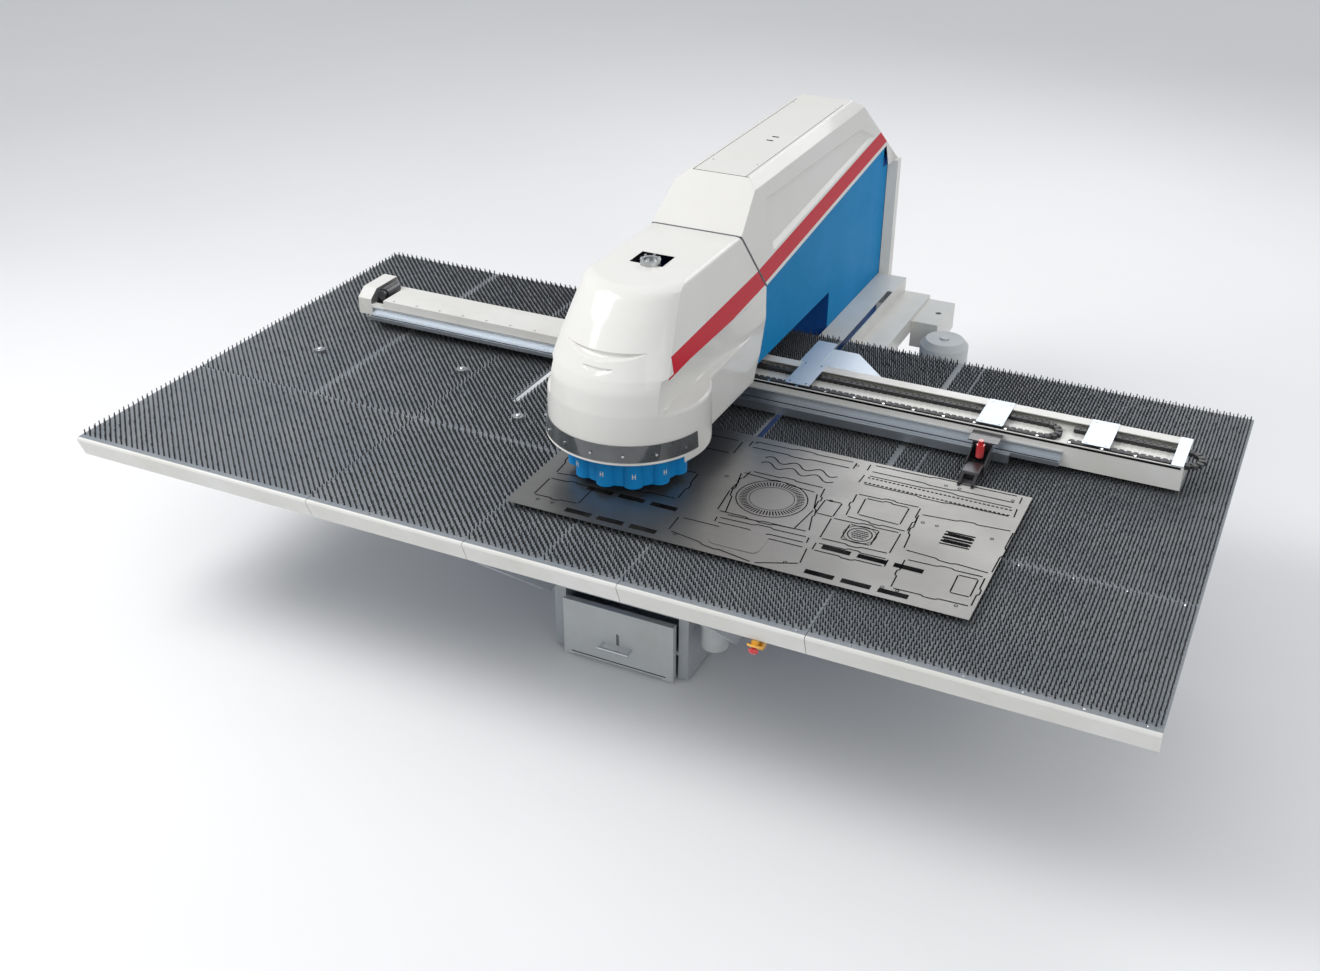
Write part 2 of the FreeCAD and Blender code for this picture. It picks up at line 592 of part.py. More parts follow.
def guard_window():
    """Clear band round the front of the drum, with its bolts."""
    ring = turned("GuardRing", [("drum_size + 0.3", "drum_low + 4"), ("drum_size + 9", "drum_low + 4"),
                                ("drum_size + 3.5", "drum_low + 78"), ("drum_size + 0.3", "drum_low + 78")],
                  "0", "turret_back")
    behind = block("GuardBehind", ("-drum_size - 40", "drum_size + 40"),
                   ("turret_back - 70", "turret_back + 500"),
                   ("drum_low - 10", "drum_low + 100"))
    finish(cut("Guard", ring, behind), "guard_window")
    return finish(group("CoverBolts", *guard_bolts(), *cap_bolts()), "cover_bolts")


def guard_bolts():
    bolts = []
    for number in range(7):
        angle = math.radians(270 + (number - 3) * 22)
        bolt = rod(f"GuardBolt{number}", "6", "7", f"(drum_size + 7.3) * {math.cos(angle):.5f}",
                   f"turret_back + (drum_size + 7.3) * {math.sin(angle):.5f}", "drum_low + 36")
        bolt.Placement = Placement(Vector(), Rotation(Vector(0, 0, 1),
                                                      Vector(math.cos(angle), math.sin(angle), 0)))
        bolts.append(bolt)
    return bolts


# ---------------------------------------------------------------- turret, ram and their drives
def polar(body, feature, sketch, count):
    pattern = body.newObject("PartDesign::PolarPattern", feature.Name + "Ring")
    pattern.Originals = [feature]
    pattern.Axis = (sketch, ["N_Axis"])
    pattern.Angle = 360
    pattern.setExpression("Occurrences", bound(count))
    body.Tip = pattern
    return pattern


def circle_sketch(body, name, rings):
    """Circles of (centre back, radius) on the body's plan plane."""
    plane = next(item for item in body.Origin.OriginFeatures if item.Role == "XY_Plane")
    sketch = body.newObject("Sketcher::SketchObject", name)
    sketch.AttachmentSupport = [(plane, "")]
    sketch.MapMode = "FlatFace"
    for number, (back, radius) in enumerate(rings):
        sketch.addGeometry(Part.Circle(Vector(0, 50, 0), Vector(0, 0, 1), 20), False)
        sketch.addConstraint(Sketcher.Constraint("PointOnObject", number, 3, -2))
        spot = sketch.addConstraint(Sketcher.Constraint("DistanceY", -1, 1, number, 3, 50))
        sketch.setExpression(f"Constraints[{spot}]", bound(back))
        wide = sketch.addConstraint(Sketcher.Constraint("Radius", number, 20))
        sketch.setExpression(f"Constraints[{wide}]", bound(radius))
    return sketch


def pad_rings(body, name, rings, length, pocket=False):
    sketch = circle_sketch(body, name + "Sketch", rings)
    kind = "PartDesign::Pocket" if pocket else "PartDesign::Pad"
    feature = body.newObject(kind, name)
    feature.Profile = sketch
    feature.Reversed = pocket
    feature.setExpression("Length", bound(length))
    return feature, sketch


def upper_turret():
    body = doc.addObject("PartDesign::Body", "UpperTurret")
    pad_rings(body, "UpperDisc", [("0", "turret_size + 18")], "turret_high - turret_low")
    lobe, sketch = pad_rings(body, "UpperLobe", [("turret_size", "lobe_size")], "turret_high - turret_low")
    doc.recompute()
    polar(body, lobe, sketch, "stations")
    pad_rings(body, "UpperPulley", [("0", "pulley_size")], "pulley_high - turret_low")
    doc.recompute()
    station, sketch = pad_rings(body, "UpperStation", [("station_ring", "station_size")], "pulley_high",
                                True)
    polar(body, station, sketch, "stations")
    hub = pad_rings(body, "UpperHub", [("0", "hub_size")], "pulley_high", True)[0]
    body.Tip = hub
    return finish(place(body, "0", "turret_back", "turret_low"), "upper_turret")


def lower_turret():
    body = doc.addObject("PartDesign::Body", "LowerTurret")
    pad_rings(body, "LowerDisc", [("0", "lower_size")], "lower_high - lower_low")
    doc.recompute()
    station, sketch = pad_rings(body, "LowerStation", [("station_ring", "station_size")],
                                "lower_high - lower_low", True)
    polar(body, station, sketch, "stations")
    hub = pad_rings(body, "LowerHub", [("0", "hub_size")], "lower_high - lower_low", True)[0]
    body.Tip = hub
    return finish(place(body, "0", "turret_back", "lower_low"), "lower_turret")


def ring_place(number, count):
    angle = math.tau * number / count + math.pi / 2
    return (f"station_ring * {math.cos(angle):.6f}", f"turret_back + station_ring * {math.sin(angle):.6f}")


def tooling():
    """A punch in each upper station and a die under it."""
    count = int(size("stations"))
    punches = []
    dies = []
    for number in range(count):
        across, back = ring_place(number, count)
        punches.append(turned(f"Punch{number}", [("0", "turret_low - 8"), ("9", "turret_low - 8"),
                                                 ("9", "turret_low + 6"),
                                                 ("station_size - fit_gap", "turret_low + 6"),
                                                 ("station_size - fit_gap", "turret_high + fit_gap"),
                                                 ("punch_flange", "turret_high + fit_gap"),
                                                 ("punch_flange", "turret_high + 9"),
                                                 ("0", "turret_high + 9")],
                              across, back))
        dies.append(turned(f"Die{number}", [("11", "lower_low + 20"),
                                            ("station_size - fit_gap", "lower_low + 20"),
                                            ("station_size - fit_gap", "brush_tall"), ("11", "brush_tall")],
                           across, back))
    finish(group("Punches", *punches), "punches")
    return finish(group("Dies", *dies), "dies")


def spindles():
    """Fixed hubs that the two turrets turn on."""
    finish(turned("UpperSpindle", [("0", "turret_low - 12"), ("hub_flange", "turret_low - 12"),
                                   ("hub_flange", "turret_low - fit_gap"),
                                   ("hub_size - fit_gap", "turret_low - fit_gap"),
                                   ("hub_size - fit_gap", "nose_low"), ("0", "nose_low")], "0",
                                   "turret_back"),
           "upper_spindle")
    return finish(turned("LowerSpindle", [("0", "arm_up"), ("hub_flange", "arm_up"),
                                          ("hub_flange", "lower_low - fit_gap"),
                                          ("hub_size - fit_gap", "lower_low - fit_gap"),
                                          ("hub_size - fit_gap", "lower_high - 10"),
                                          ("0", "lower_high - 10")],
                         "0", "turret_back"), "lower_spindle")


def turret_drive():
    """Servo motor on a bracket under the frame's nose, its pulley and the toothed belt."""
    bracket = block("DriveBracket", ("-motor_across - 55", "0"), ("turret_back + 45", "turret_back + 130"),
                    ("nose_low - 12", "nose_low"))
    ear = block("DriveEar", ("-motor_across - 55", "-nose_half - 4"),
                ("turret_back - 55", "turret_back + 45"),
                ("nose_low - 12", "nose_low"))
    shell = rod("DriveMotor", "motor_size", "nose_low - 12 - pulley_high - 15", "-motor_across",
                "turret_back", "pulley_high + 15")
    finish(fuse("TurretMotor", bracket, ear, shell), "turret_motor")
    wheel = rod("MotorWheel", "motor_pulley", "16", "-motor_across", "turret_back", "pulley_high - 18")
    shaft = rod("MotorShaft", "8", "18 + 15 - fit_gap", "-motor_across", "turret_back", "pulley_high - 18")
    finish(fuse("MotorPulley", wheel, shaft), "motor_pulley")
    big = size("pulley_size") + size("fit_gap")
    small = size("motor_pulley") + size("fit_gap")
    gap = size("motor_across")
    lean = math.acos((big - small) / gap)
    low = size("pulley_high") - 17

    def loop(grow):
        big_out, small_out = big + grow, small + grow
        spots = [(0, big_out, lean), (-gap, small_out, lean)]
        near_up, far_up = (Vector(centre - radius * math.cos(turn), radius * math.sin(turn), low)
                           for centre, radius, turn in spots)
        near_low, far_low = Vector(near_up.x, -near_up.y, low), Vector(far_up.x, -far_up.y, low)
        return Part.Wire([Part.makeLine(near_up, far_up),
                          Part.Arc(far_up, Vector(-gap - small_out, 0, low), far_low).toShape(),
                          Part.makeLine(far_low, near_low),
                          Part.Arc(near_low, Vector(big_out, 0, low), near_up).toShape()])

    ring = Part.Face(loop(3.0)).cut(Part.Face(loop(0.0))).extrude(Vector(0, 0, 14))
    belt = doc.addObject("Part::Feature", "TurretBelt")
    belt.Shape = ring.Solids[0]
    return finish(place(belt, "0", "turret_back", "0"), "turret_belt")


def ram_and_cylinder():
    inner = "ram_size + fit_gap"
    finish(turned("RamCylinder", [(inner, "ram_low + 90"), ("cylinder_size - 12", "ram_low + 90"),
                                  ("cylinder_size - 12", "nose_low"), ("cylinder_size", "nose_low"),
                                  ("cylinder_size", "nose_up"),
                                  ("cylinder_size + 20", "nose_up"), ("cylinder_size + 20", "nose_up + 24"),
                                  ("cylinder_cap", "nose_up + 24"), ("cylinder_cap", "cylinder_up"),
                                  ("cylinder_cap - 16", "cylinder_up"),
                                  ("cylinder_cap - 16", "cylinder_up - 12"), ("0", "cylinder_up - 12"),
                                  ("0", "cylinder_up - 40"), (inner, "cylinder_up - 40")], "0", "ram_back"),
                                  "ram_cylinder")
    finish(turned("Ram", [("0", "ram_low"), ("ram_size", "ram_low"), ("ram_size", "cylinder_up - 60"),
                          ("0", "cylinder_up - 60")], "0", "ram_back"), "ram")


def cap_bolts():
    bolts = []
    for number in range(6):
        angle = math.tau * (number + 0.5) / 6
        bolts.append(rod(f"CapBolt{number}", "5", "9", f"(cylinder_cap - 8) * {math.cos(angle):.5f}",
                         f"ram_back + (cylinder_cap - 8) * {math.sin(angle):.5f}", "cylinder_up"))
    return bolts


def power_pack():
    """Oil tank and pump motor on top of the frame, under the rear cover."""
    tank = block("Tank", ("-150", "150"), ("shoulder_back + 500", "shoulder_back + 1250"),
                 ("frame_up", "frame_up + 240"))
    finish(tank, "oil_tank")
    motor = rod("PumpBody", "88", "300", "0", "shoulder_back + 1300", "frame_up + 110", "back")
    cradle = block("PumpFoot", ("-70", "70"), ("shoulder_back + 1330", "shoulder_back + 1570"),
                   ("frame_up", "frame_up + 60"))
    return finish(fuse("PumpMotor", motor, cradle), "pump_motor")


# ---------------------------------------------------------------- cross beam
TRAY_BACK = "beam_back + guide_deep"


def cross_beam():
    """Box beam with the white front face and the chain tray on top."""
    low = f"{TRAY_BACK} + tray_thick"
    corners = [(TRAY_BACK, "beam_low"), (f"{TRAY_BACK} + beam_deep * 0.7", "beam_low"),
               (f"{TRAY_BACK} + beam_deep * 0.7", "tray_floor"),
               (f"{TRAY_BACK} + beam_deep", "tray_floor"), (f"{TRAY_BACK} + beam_deep", "tray_high"),
               (f"{TRAY_BACK} + beam_deep - lip_wide", "tray_high"),
               (f"{TRAY_BACK} + beam_deep - lip_wide", "tray_high - tray_thick"),
               (f"{TRAY_BACK} + beam_deep - tray_thick", "tray_high - tray_thick"),
               (f"{TRAY_BACK} + beam_deep - tray_thick", "tray_floor + tray_thick"),
               (low, "tray_floor + tray_thick"),
               (low, "tray_high"), (TRAY_BACK, "tray_high")]
    beam = side_pad("BeamBody", corners, ("-beam_left + end_wide", "beam_right"))
    bore = block("BeamBore", ("-beam_left + end_wide", "beam_right"),
                 (low, f"{TRAY_BACK} + beam_deep * 0.7 - tray_thick"),
                 ("beam_low + tray_thick", "tray_floor - tray_thick"))
    notch = block("BeamNotch", ("-beam_left + end_wide - 1", "-cover_left - 1"),
                  (f"{TRAY_BACK} - 1", f"{TRAY_BACK} + beam_deep + 1"),
                  ("tray_floor + tray_thick", "tray_high + 1"))
    left_lip = block("BeamLipOff", ("-cover_left - 2", "-cover_right"),
                     (f"{TRAY_BACK} + beam_deep - lip_wide - 40", f"{TRAY_BACK} + beam_deep + 1"),
                     ("tray_floor + tray_thick", "tray_high + 1"))
    return finish(cut("CrossBeam", beam, bore, notch, left_lip), "cross_beam")


def guide_rail():
    """Grooved guide along the front of the beam, which the clamp carriage runs on."""
    corners = [("beam_back", "guide_low"), (TRAY_BACK, "guide_low"), (TRAY_BACK, "guide_high"),
               ("beam_back + 40", "guide_high"), ("beam_back + 40", "guide_high - 5"),
               ("beam_back + 46", "guide_high - 5"),
               ("beam_back + 46", "guide_low + 19"), ("beam_back", "guide_low + 19")]
    return finish(side_pad("GuideRail", corners, ("-guide_left", "guide_right")), "guide_rail")


def beam_covers():
    """Long white lid over the left half of the tray, and the box at the beam's left end."""
    top = f"{TRAY_BACK} + 170"
    corners = [(f"{TRAY_BACK} - 3", "guide_high + 2"), (f"{TRAY_BACK} - 0.5", "guide_high + 2"),
               (f"{TRAY_BACK} - 0.5", "tray_high + 0.5"),
               (top, "tray_high + 0.5"), (top, "tray_floor + tray_thick"),
               (f"{top} + 3", "tray_floor + tray_thick"),
               (f"{top} + 3", "tray_high + 3.5"), (f"{TRAY_BACK} - 3", "tray_high + 3.5")]
    finish(side_pad("BeamLid", corners, ("-cover_left", "-cover_right")), "beam_lid")
    box = [(f"{TRAY_BACK} + 4", "beam_low + 20"), (f"{TRAY_BACK} + 250", "beam_low + 20"),
           (f"{TRAY_BACK} + 250", "end_high"),
           (f"{TRAY_BACK} + 62", "end_high"), (f"{TRAY_BACK} + 4", "end_high - 42")]
    outer = side_pad("EndOuter", box, ("-beam_left", "-beam_left + end_wide"))
    inner = side_pad("EndInner", [(f"{TRAY_BACK} + 7", "beam_low + 23"),
                                  (f"{TRAY_BACK} + 247", "beam_low + 23"),
                                  (f"{TRAY_BACK} + 247", "end_high - 3"),
                                  (f"{TRAY_BACK} + 64", "end_high - 3"),
                                  (f"{TRAY_BACK} + 7", "end_high - 44")],
                                  ("-beam_left + 3", "-beam_left + end_wide + 1"))
    return finish(cut("EndCover", outer, inner), "beam_end_cover")


def x_drive():
    """Motor that moves the clamp carriage, with its pulley, in the end of the beam."""
    plate = block("DrivePlate", ("-beam_left + end_wide + 2", "-cover_left - 4"),
                  (f"{TRAY_BACK} + 60", f"{TRAY_BACK} + 200"),
                  ("tray_floor + tray_thick", "tray_floor + 15"))
    motor = rod("XMotorBody", "30", "110", "-beam_left + end_wide + 38", f"{TRAY_BACK} + 75",
                "tray_floor + 42", "back")
    wheel = rod("XMotorWheel", "24", "26", "-beam_left + end_wide + 38", f"{TRAY_BACK} + 50",
                "tray_floor + 42", "back")
    return finish(fuse("XDrive", plate, motor, wheel), "carriage_motor")


def chain_loop(name, turn_at, start):
    """A chain lying on its side in the tray: two runs joined by a half turn."""
    front = size("beam_back") + size("guide_deep") + 60
    half = size("chain_wide") / 2 - 4
    turn = size("chain_turn")
    middle = Vector(turn_at, front + turn, 0)
    outer = Part.makeCylinder(turn + half, size("chain_tall"), middle, Vector(0, 0, 1), 180)
    inner = Part.makeCylinder(turn - half, size("chain_tall"), middle, Vector(0, 0, 1), 180)
    bend = outer.cut(inner)
    bend.rotate(middle, Vector(0, 0, 1), -90)
    runs = [Part.makeBox(turn_at - start, 2 * half, size("chain_tall"), Vector(start, line - half, 0))
            for line in (front, front + 2 * turn)]
    chain = doc.addObject("Part::Feature", name)
    chain.Shape = bend.fuse(runs).removeSplitter()
    return place(chain, "0", "0", "tray_floor + tray_thick + 0.3")


def energy_chains():
    """One loop ends on the tray, the next one turns past the beam's right end."""
    near = chain_loop("ChainNear", size("beam_right") - 620, -size("cover_right"))
    far = chain_loop("ChainFar", size("beam_right") - 4, size("beam_right") - 500)
    return finish(group("Chains", near, far), "energy_chains")


def chain_bridges():
    """Plates across the tray that hold the chains down."""
    plates = []
    for number, across in enumerate(("slot_right + 5", "slot_right + 920", "slot_right + 1390")):
        plates.append(block(f"Bridge{number}", (across, f"{across} + bridge_wide"),
                            (f"{TRAY_BACK} + 30", f"{TRAY_BACK} + beam_deep"),
                            ("tray_high", "tray_high + 3")))
    plates.append(block("BridgeEnd", ("beam_right - 54", "beam_right - 2"),
                        (TRAY_BACK, f"{TRAY_BACK} + beam_deep"),
                        ("tray_high", "tray_high + 3")))
    return finish(group("Bridges", *plates), "chain_bridges")


def slot_arms():
    """Plates through the table slots that carry the beam, with their folded tops and slide blocks."""
    arms = []
    for side, middle in TRACKS:
        blade = block("Blade" + side, (f"{middle} - arm_thick / 2", f"{middle} + arm_thick / 2"),
                      (f"beam_back + arm_start + 28", "beam_back + arm_end"),
                      (f"{CARRIER_UP} + track_tall + block_tall", "tray_high - 8"))
        cap = block("ArmCap" + side, (f"{middle} - 16", f"{middle} + 84"),
                    (f"{TRAY_BACK} + beam_deep", "beam_back + arm_end"),
                    ("tray_high - 8", "tray_high"))
        foot = block("SlideBlock" + side, (f"{middle} - 14.5", f"{middle} + 14.5"),
                     ("beam_back + arm_start + 28", "beam_back + arm_end"),
                     (f"{CARRIER_UP} + fit_gap", f"{CARRIER_UP} + track_tall + block_tall"))
        groove = block("SlideGroove" + side, (f"{middle} - 7 - fit_gap", f"{middle} + 7 + fit_gap"),
                       ("beam_back + arm_start", "beam_back + arm_end + 1"),
                       (f"{CARRIER_UP} - 1", f"{CARRIER_UP} + track_tall + fit_gap"))
        arms.append(cut("Arm" + side, fuse("ArmJoined" + side, blade, cap, foot), groove))
    wing = plan_pad("Wing", [("slot_right + 84", f"{TRAY_BACK} + beam_deep"),
                             ("slot_right + 400", f"{TRAY_BACK} + beam_deep"),
                             ("slot_right + 215", "beam_back + arm_end - 60"),
                             ("slot_right + 84", "beam_back + arm_end - 60")],
                    ("tray_high - 8", "tray_high - 3"))
    return finish(group("Arms", *arms, wing), "slot_arms")


# ---------------------------------------------------------------- clamp carriage and workpiece
CLAMPS = ("clamp_first", "clamp_first - clamp_pitch")
BAR_BACK = ("beam_back - bar_thick - 2", "beam_back - 2")


def clamp_bar():
    """Bar in front of the guide, with a hooked block in the groove behind each clamp."""
    bar = block("BarBody", ("-bar_left", "bar_right"), BAR_BACK, ("bar_low", "guide_low + 12"))
    pieces = [bar]
    for number, middle in enumerate(CLAMPS):
        span = (f"{middle} - clamp_wide / 2", f"{middle} + clamp_wide / 2")
        pieces.append(block(f"BarRise{number}", span, BAR_BACK, ("guide_low + 12", "guide_low + 44")))
        pieces.append(block(f"BarHook{number}", span, ("beam_back - 2", "beam_back + 44"),
                            ("guide_low + 21", "guide_low + 41")))
    return finish(fuse("ClampBar", *pieces), "clamp_bar")


def clamps():
    """Clamp bodies on the bar, each with its lower jaw, air cylinder and hinged upper jaw."""
    bodies = []
    cylinders = []
    face = f"({BAR_BACK[0]})"
    jaw_front = "beam_back - jaw_reach"
    hinge_back = f"{jaw_front} + 150"
    for number, middle in enumerate(CLAMPS):
        side = f"{middle} - clamp_wide / 2", f"{middle} + clamp_wide / 2"
        jaw = f"{middle} - jaw_wide / 2", f"{middle} + jaw_wide / 2"
        back = block(f"ClampBack{number}", side, (f"{face} - 30", face), ("bar_low + 6", "guide_high + 14"))
        shelf = block(f"ClampTop{number}", (f"{middle} - clamp_plate / 2", f"{middle} + clamp_plate / 2"),
                      (f"{face} - 30", "beam_back + 50"), ("guide_high + 14", "guide_high + 20"))
        floor = block(f"ClampFloor{number}", jaw, (jaw_front, f"{face} - 28"),
                      ("brush_tall + fit_gap", "tongue_up"))
        cheeks = [side_pad(f"ClampCheek{number}{hand}", [(f"{face} - 28", "bar_low + 6"),
                                                         (f"{face} - 28", "guide_high"),
                                                         (f"{hinge_back} - 14", "bar_low + 38"),
                                                         (f"{hinge_back} - 14", "brush_tall + fit_gap"),
                                                         (f"{face} - 28", "brush_tall + fit_gap")], span)
                  for hand, span in (("L", (side[0], f"{side[0]} + 6")),
                                     ("R", (f"{side[1]} - 6", side[1])))]
        pin = rod(f"ClampPin{number}", "5", "clamp_wide", f"{middle} - clamp_wide / 2", hinge_back,
                  "bar_low + 22", "across")
        body = fuse(f"Clamp{number}", back, shelf, floor, *cheeks, pin)
        bodies.append(body)
        barrel = rod(f"Barrel{number}", "18", "58", middle, f"{face} - 62", "bar_low + 40")
        cap = rod(f"BarrelCap{number}", "12", "22", middle, f"{face} - 62", "bar_low + 98")
        stay = block(f"BarrelStay{number}", (f"{middle} - 10", f"{middle} + 10"),
                     (f"{face} - 46", f"{face} - 30"), ("bar_low + 60", "bar_low + 84"))
        cylinders.append(fuse(f"AirCylinder{number}", barrel, cap, stay))
        arm = side_pad(f"JawArm{number}", [(f"{jaw_front}", "sheet_up + sheet_thick + 1"),
                                           (f"{jaw_front} + 26", "sheet_up + sheet_thick + 1"),
                                           (f"{jaw_front} + 60", "bar_low + 10"),
                                           (f"{hinge_back} + 12", "bar_low + 10"),
                                           (f"{hinge_back} + 12", "bar_low + 34"),
                                           (f"{jaw_front} + 70", "bar_low + 34"),
                                           (f"{jaw_front}", "sheet_up + sheet_thick + 9")],
                       (f"{middle} - jaw_wide / 2", f"{middle} + jaw_wide / 2"))
        eye = rod(f"JawEye{number}", "5 + fit_gap", "clamp_wide", f"{middle} - clamp_wide / 2", hinge_back,
                  "bar_low + 22", "across")
        mouth = block(f"JawMouth{number}", (f"{middle} - jaw_wide / 2 + 14",
                                            f"{middle} + jaw_wide / 2 - 14"),
                      (f"{jaw_front} - 1", f"{jaw_front} + 56"), ("0", "bar_low + 60"))
        finish(cut(f"Jaw{number}", arm, eye, mouth), f"clamp_jaw_{number + 1}")
    finish(group("ClampBodies", *bodies), "clamp_bodies")
    return finish(group("AirCylinders", *cylinders), "clamp_cylinders")


def workpiece():
    """Flat sheet with rows of punched slots and a ring of radial slots."""
    blank = block("Blank", ("sheet_left", "sheet_left + sheet_wide"),
                  ("sheet_front", "sheet_front + sheet_deep"),
                  ("sheet_up", "sheet_up + sheet_thick"))
    tools = []

    def slot(across, back, wide, deep, turn=0.0):
        tool = doc.addObject("Part::Box", f"Punched{len(tools)}")
        tool.Length, tool.Width, tool.Height = wide, deep, 20
        swing = Rotation(Vector(0, 0, 1), turn)
        tool.Placement = Placement(Vector(), swing)
        corner = swing.multVec(Vector(-wide / 2, -deep / 2, 0))
        place(tool, f"sheet_left + {across + corner.x:.3f}", f"sheet_front + {back + corner.y:.3f}",
              "brush_tall - 8")
        tools.append(tool)

    for start, back in ((325, 48), (325, 248), (1391, 46), (1391, 242)):
        for step in range(3):
            slot(start + step * 150, back, 120, 30)
    for step in range(34):
        slot(1321 + step * 18.8, 812, 12, 6)
        slot(1321 + step * 18.8, 858, 12, 6)
    for step in range(60):
        angle = 6 * step
        reach = math.radians(angle)
        slot(1008 + 124 * math.cos(reach), 507 + 124 * math.sin(reach), 27, 6, angle)
    for step in range(5):
        slot(1438, 367 + step * 14, 78 - 12 * abs(step - 2), 7)
        slot(1807, 495 + step * 18, 104, 9)
    tools.append(rod("RamHole", "14", "20", "0", "ram_back", "brush_tall - 8"))
    return finish(cut("Workpiece", blank, *tools), "workpiece_sheet")


# ---------------------------------------------------------------- lower front, rear housings, stop button
def drawer_runners():
    low = FLOOR + " + drawer_clear + 8"
    back = ("drawer_front + drawer_thick + 32", "bay_back - 4")
    up = (f"{low} + 120", f"{low} + 140")
    return [block("RunnerLeft", ("-drawer_left - cheek_gap", "-drawer_left + 12 - fit_gap"), back, up),
            block("RunnerRight", ("drawer_right - 12 + fit_gap", "drawer_right + cheek_gap"), back, up)]


def cheeks():
    """Side walls of the drawer bay."""
    up = (FLOOR + " + 12", "bay_up - 2")
    back = ("drawer_front + drawer_thick + 30", "bay_back - 2")
    left = block("CheekLeft", ("-drawer_left - cheek_gap - cheek_thick - 46", "-drawer_left - cheek_gap"),
                 back, up)
    right = block("CheekRight", ("drawer_right + cheek_gap", "drawer_right + cheek_gap + cheek_thick + 36"),
                  back, up)
    shelf = block("BayRoof", ("-drawer_left - cheek_gap - cheek_thick - 46",
                              "drawer_right + cheek_gap + cheek_thick + 36"),
                  back, ("bay_up - 14", "bay_up - 2"))
    hole = rod("RoofHole", "slug_size", "40", "0", "ram_back", "bay_up - 30")
    walls = cut("BayCheeks", fuse("BayJoined", left, right, shelf), hole)
    return finish(group("DrawerBay", walls, *drawer_runners()), "drawer_bay")


def drawer():
    low = FLOOR + " + drawer_clear"
    front = block("DrawerFace", ("-drawer_left", "drawer_right"),
                  ("drawer_front", "drawer_front + drawer_thick"), (low, "drawer_high"))
    slit = block("DrawerSlit", ("20", "26"), ("drawer_front - 1", "drawer_front + drawer_thick + 1"),
                 ("drawer_high - 185", "drawer_high - 122"))
    foot = block("DrawerFoot", ("-drawer_left + 55", "drawer_right - 55"),
                 ("drawer_front - 1", "drawer_front + drawer_thick + 1"),
                 (low, f"{low} + 6"))
    finish(cut("DrawerFront", front, slit, foot), "drawer_front")
    span = ("drawer_front + drawer_thick", "drawer_front + drawer_thick + drawer_deep")
    outer = block("BinOuter", ("-drawer_left + 12", "drawer_right - 12"), span,
                  (f"{low} + 8", "drawer_high - 30"))
    inner = block("BinInner", ("-drawer_left + 12 + bin_wall", "drawer_right - 12 - bin_wall"),
                  (f"{span[0]} + bin_wall", f"{span[1]} - bin_wall"),
                  (f"{low} + 8 + bin_wall", "drawer_high"))
    finish(cut("DrawerBin", outer, inner), "drawer_bin")
    middle = "15"
    up = "drawer_high - 190"
    pieces = [rod("HandleGrip", "handle_size", "handle_wide", f"{middle} - handle_wide / 2",
                  "drawer_front - handle_out", up, "across")]
    for side, across in (("L", f"{middle} - handle_wide / 2 + handle_size"),
                         ("R", f"{middle} + handle_wide / 2 - handle_size")):
        pieces.append(rod("HandlePost" + side, "handle_size", "handle_out", across,
                          "drawer_front - handle_out", up, "back"))
    return finish(fuse("DrawerHandle", *pieces), "drawer_handle")


def front_column():
    """Round housing beside the drawer bay, on a bracket plate off the frame."""
    post = rod("ColumnPost", "column_round", "-bay_up + 150 - 290", "column_across", "arm_front + 66",
               "bay_up - 150")
    plate = block("ColumnPlate", ("frame_half", "column_across + column_round + 60"),
                  ("arm_front + 130", "arm_front + 142"),
                  ("bay_up + 4", "-285"))
    joint = block("ColumnJoint", ("column_across - 20", "column_across + 20"),
                  ("arm_front + 66", "arm_front + 132"), ("bay_up + 10", "-330"))
    return finish(fuse("FrontColumn", post, plate, joint), "front_column")


def strut(name, side, low_across, low_back, low_up, high_across, high_back, high_up):
    """Square brace from the frame up to the table's front rail, with a foot plate on the frame."""
    low = Vector(low_across, low_back, low_up)
    high = Vector(high_across, high_back, high_up)
    way = high - low
    half = size("strut_size") / 2
    bar = Part.makeBox(2 * half, 2 * half, way.Length, Vector(-half, -half, 0))
    bar.Placement = Placement(low, Rotation(Vector(0, 0, 1), way))
    face = size("arm_front")
    inner, outer = sorted((side * 150, low_across + side * half))
    plate = Part.makeBox(outer - inner, 24, 140, Vector(inner, face - 24, low_up - 5))
    knee = Part.makeBox(2 * half, face - low_back + 5, 60, Vector(low_across - half, low_back - 5,
            low_up - 5))
    shape = bar.fuse([plate, knee]).removeSplitter()
    roof = Part.makeBox(400, 400, 200, Vector(high_across - 200, high_back - 200, high_up))
    item = doc.addObject("Part::Feature", name)
    item.Shape = shape.cut(roof)
    return place(item, "0", "0", "0")


def struts():
    rail_low = -size("plate_thick") - 2 * size("bearer_tall")
    inset = size("rail_inset") + size("tube_wide") / 2
    left = strut("StrutLeft", -1, -325.0, 640.0, -585.0, -325.0, inset, rail_low)
    right = strut("StrutRight", 1, 600.0, 640.0, -585.0, 700.0, inset, rail_low)
    return finish(group("Struts", left, right), "front_struts")


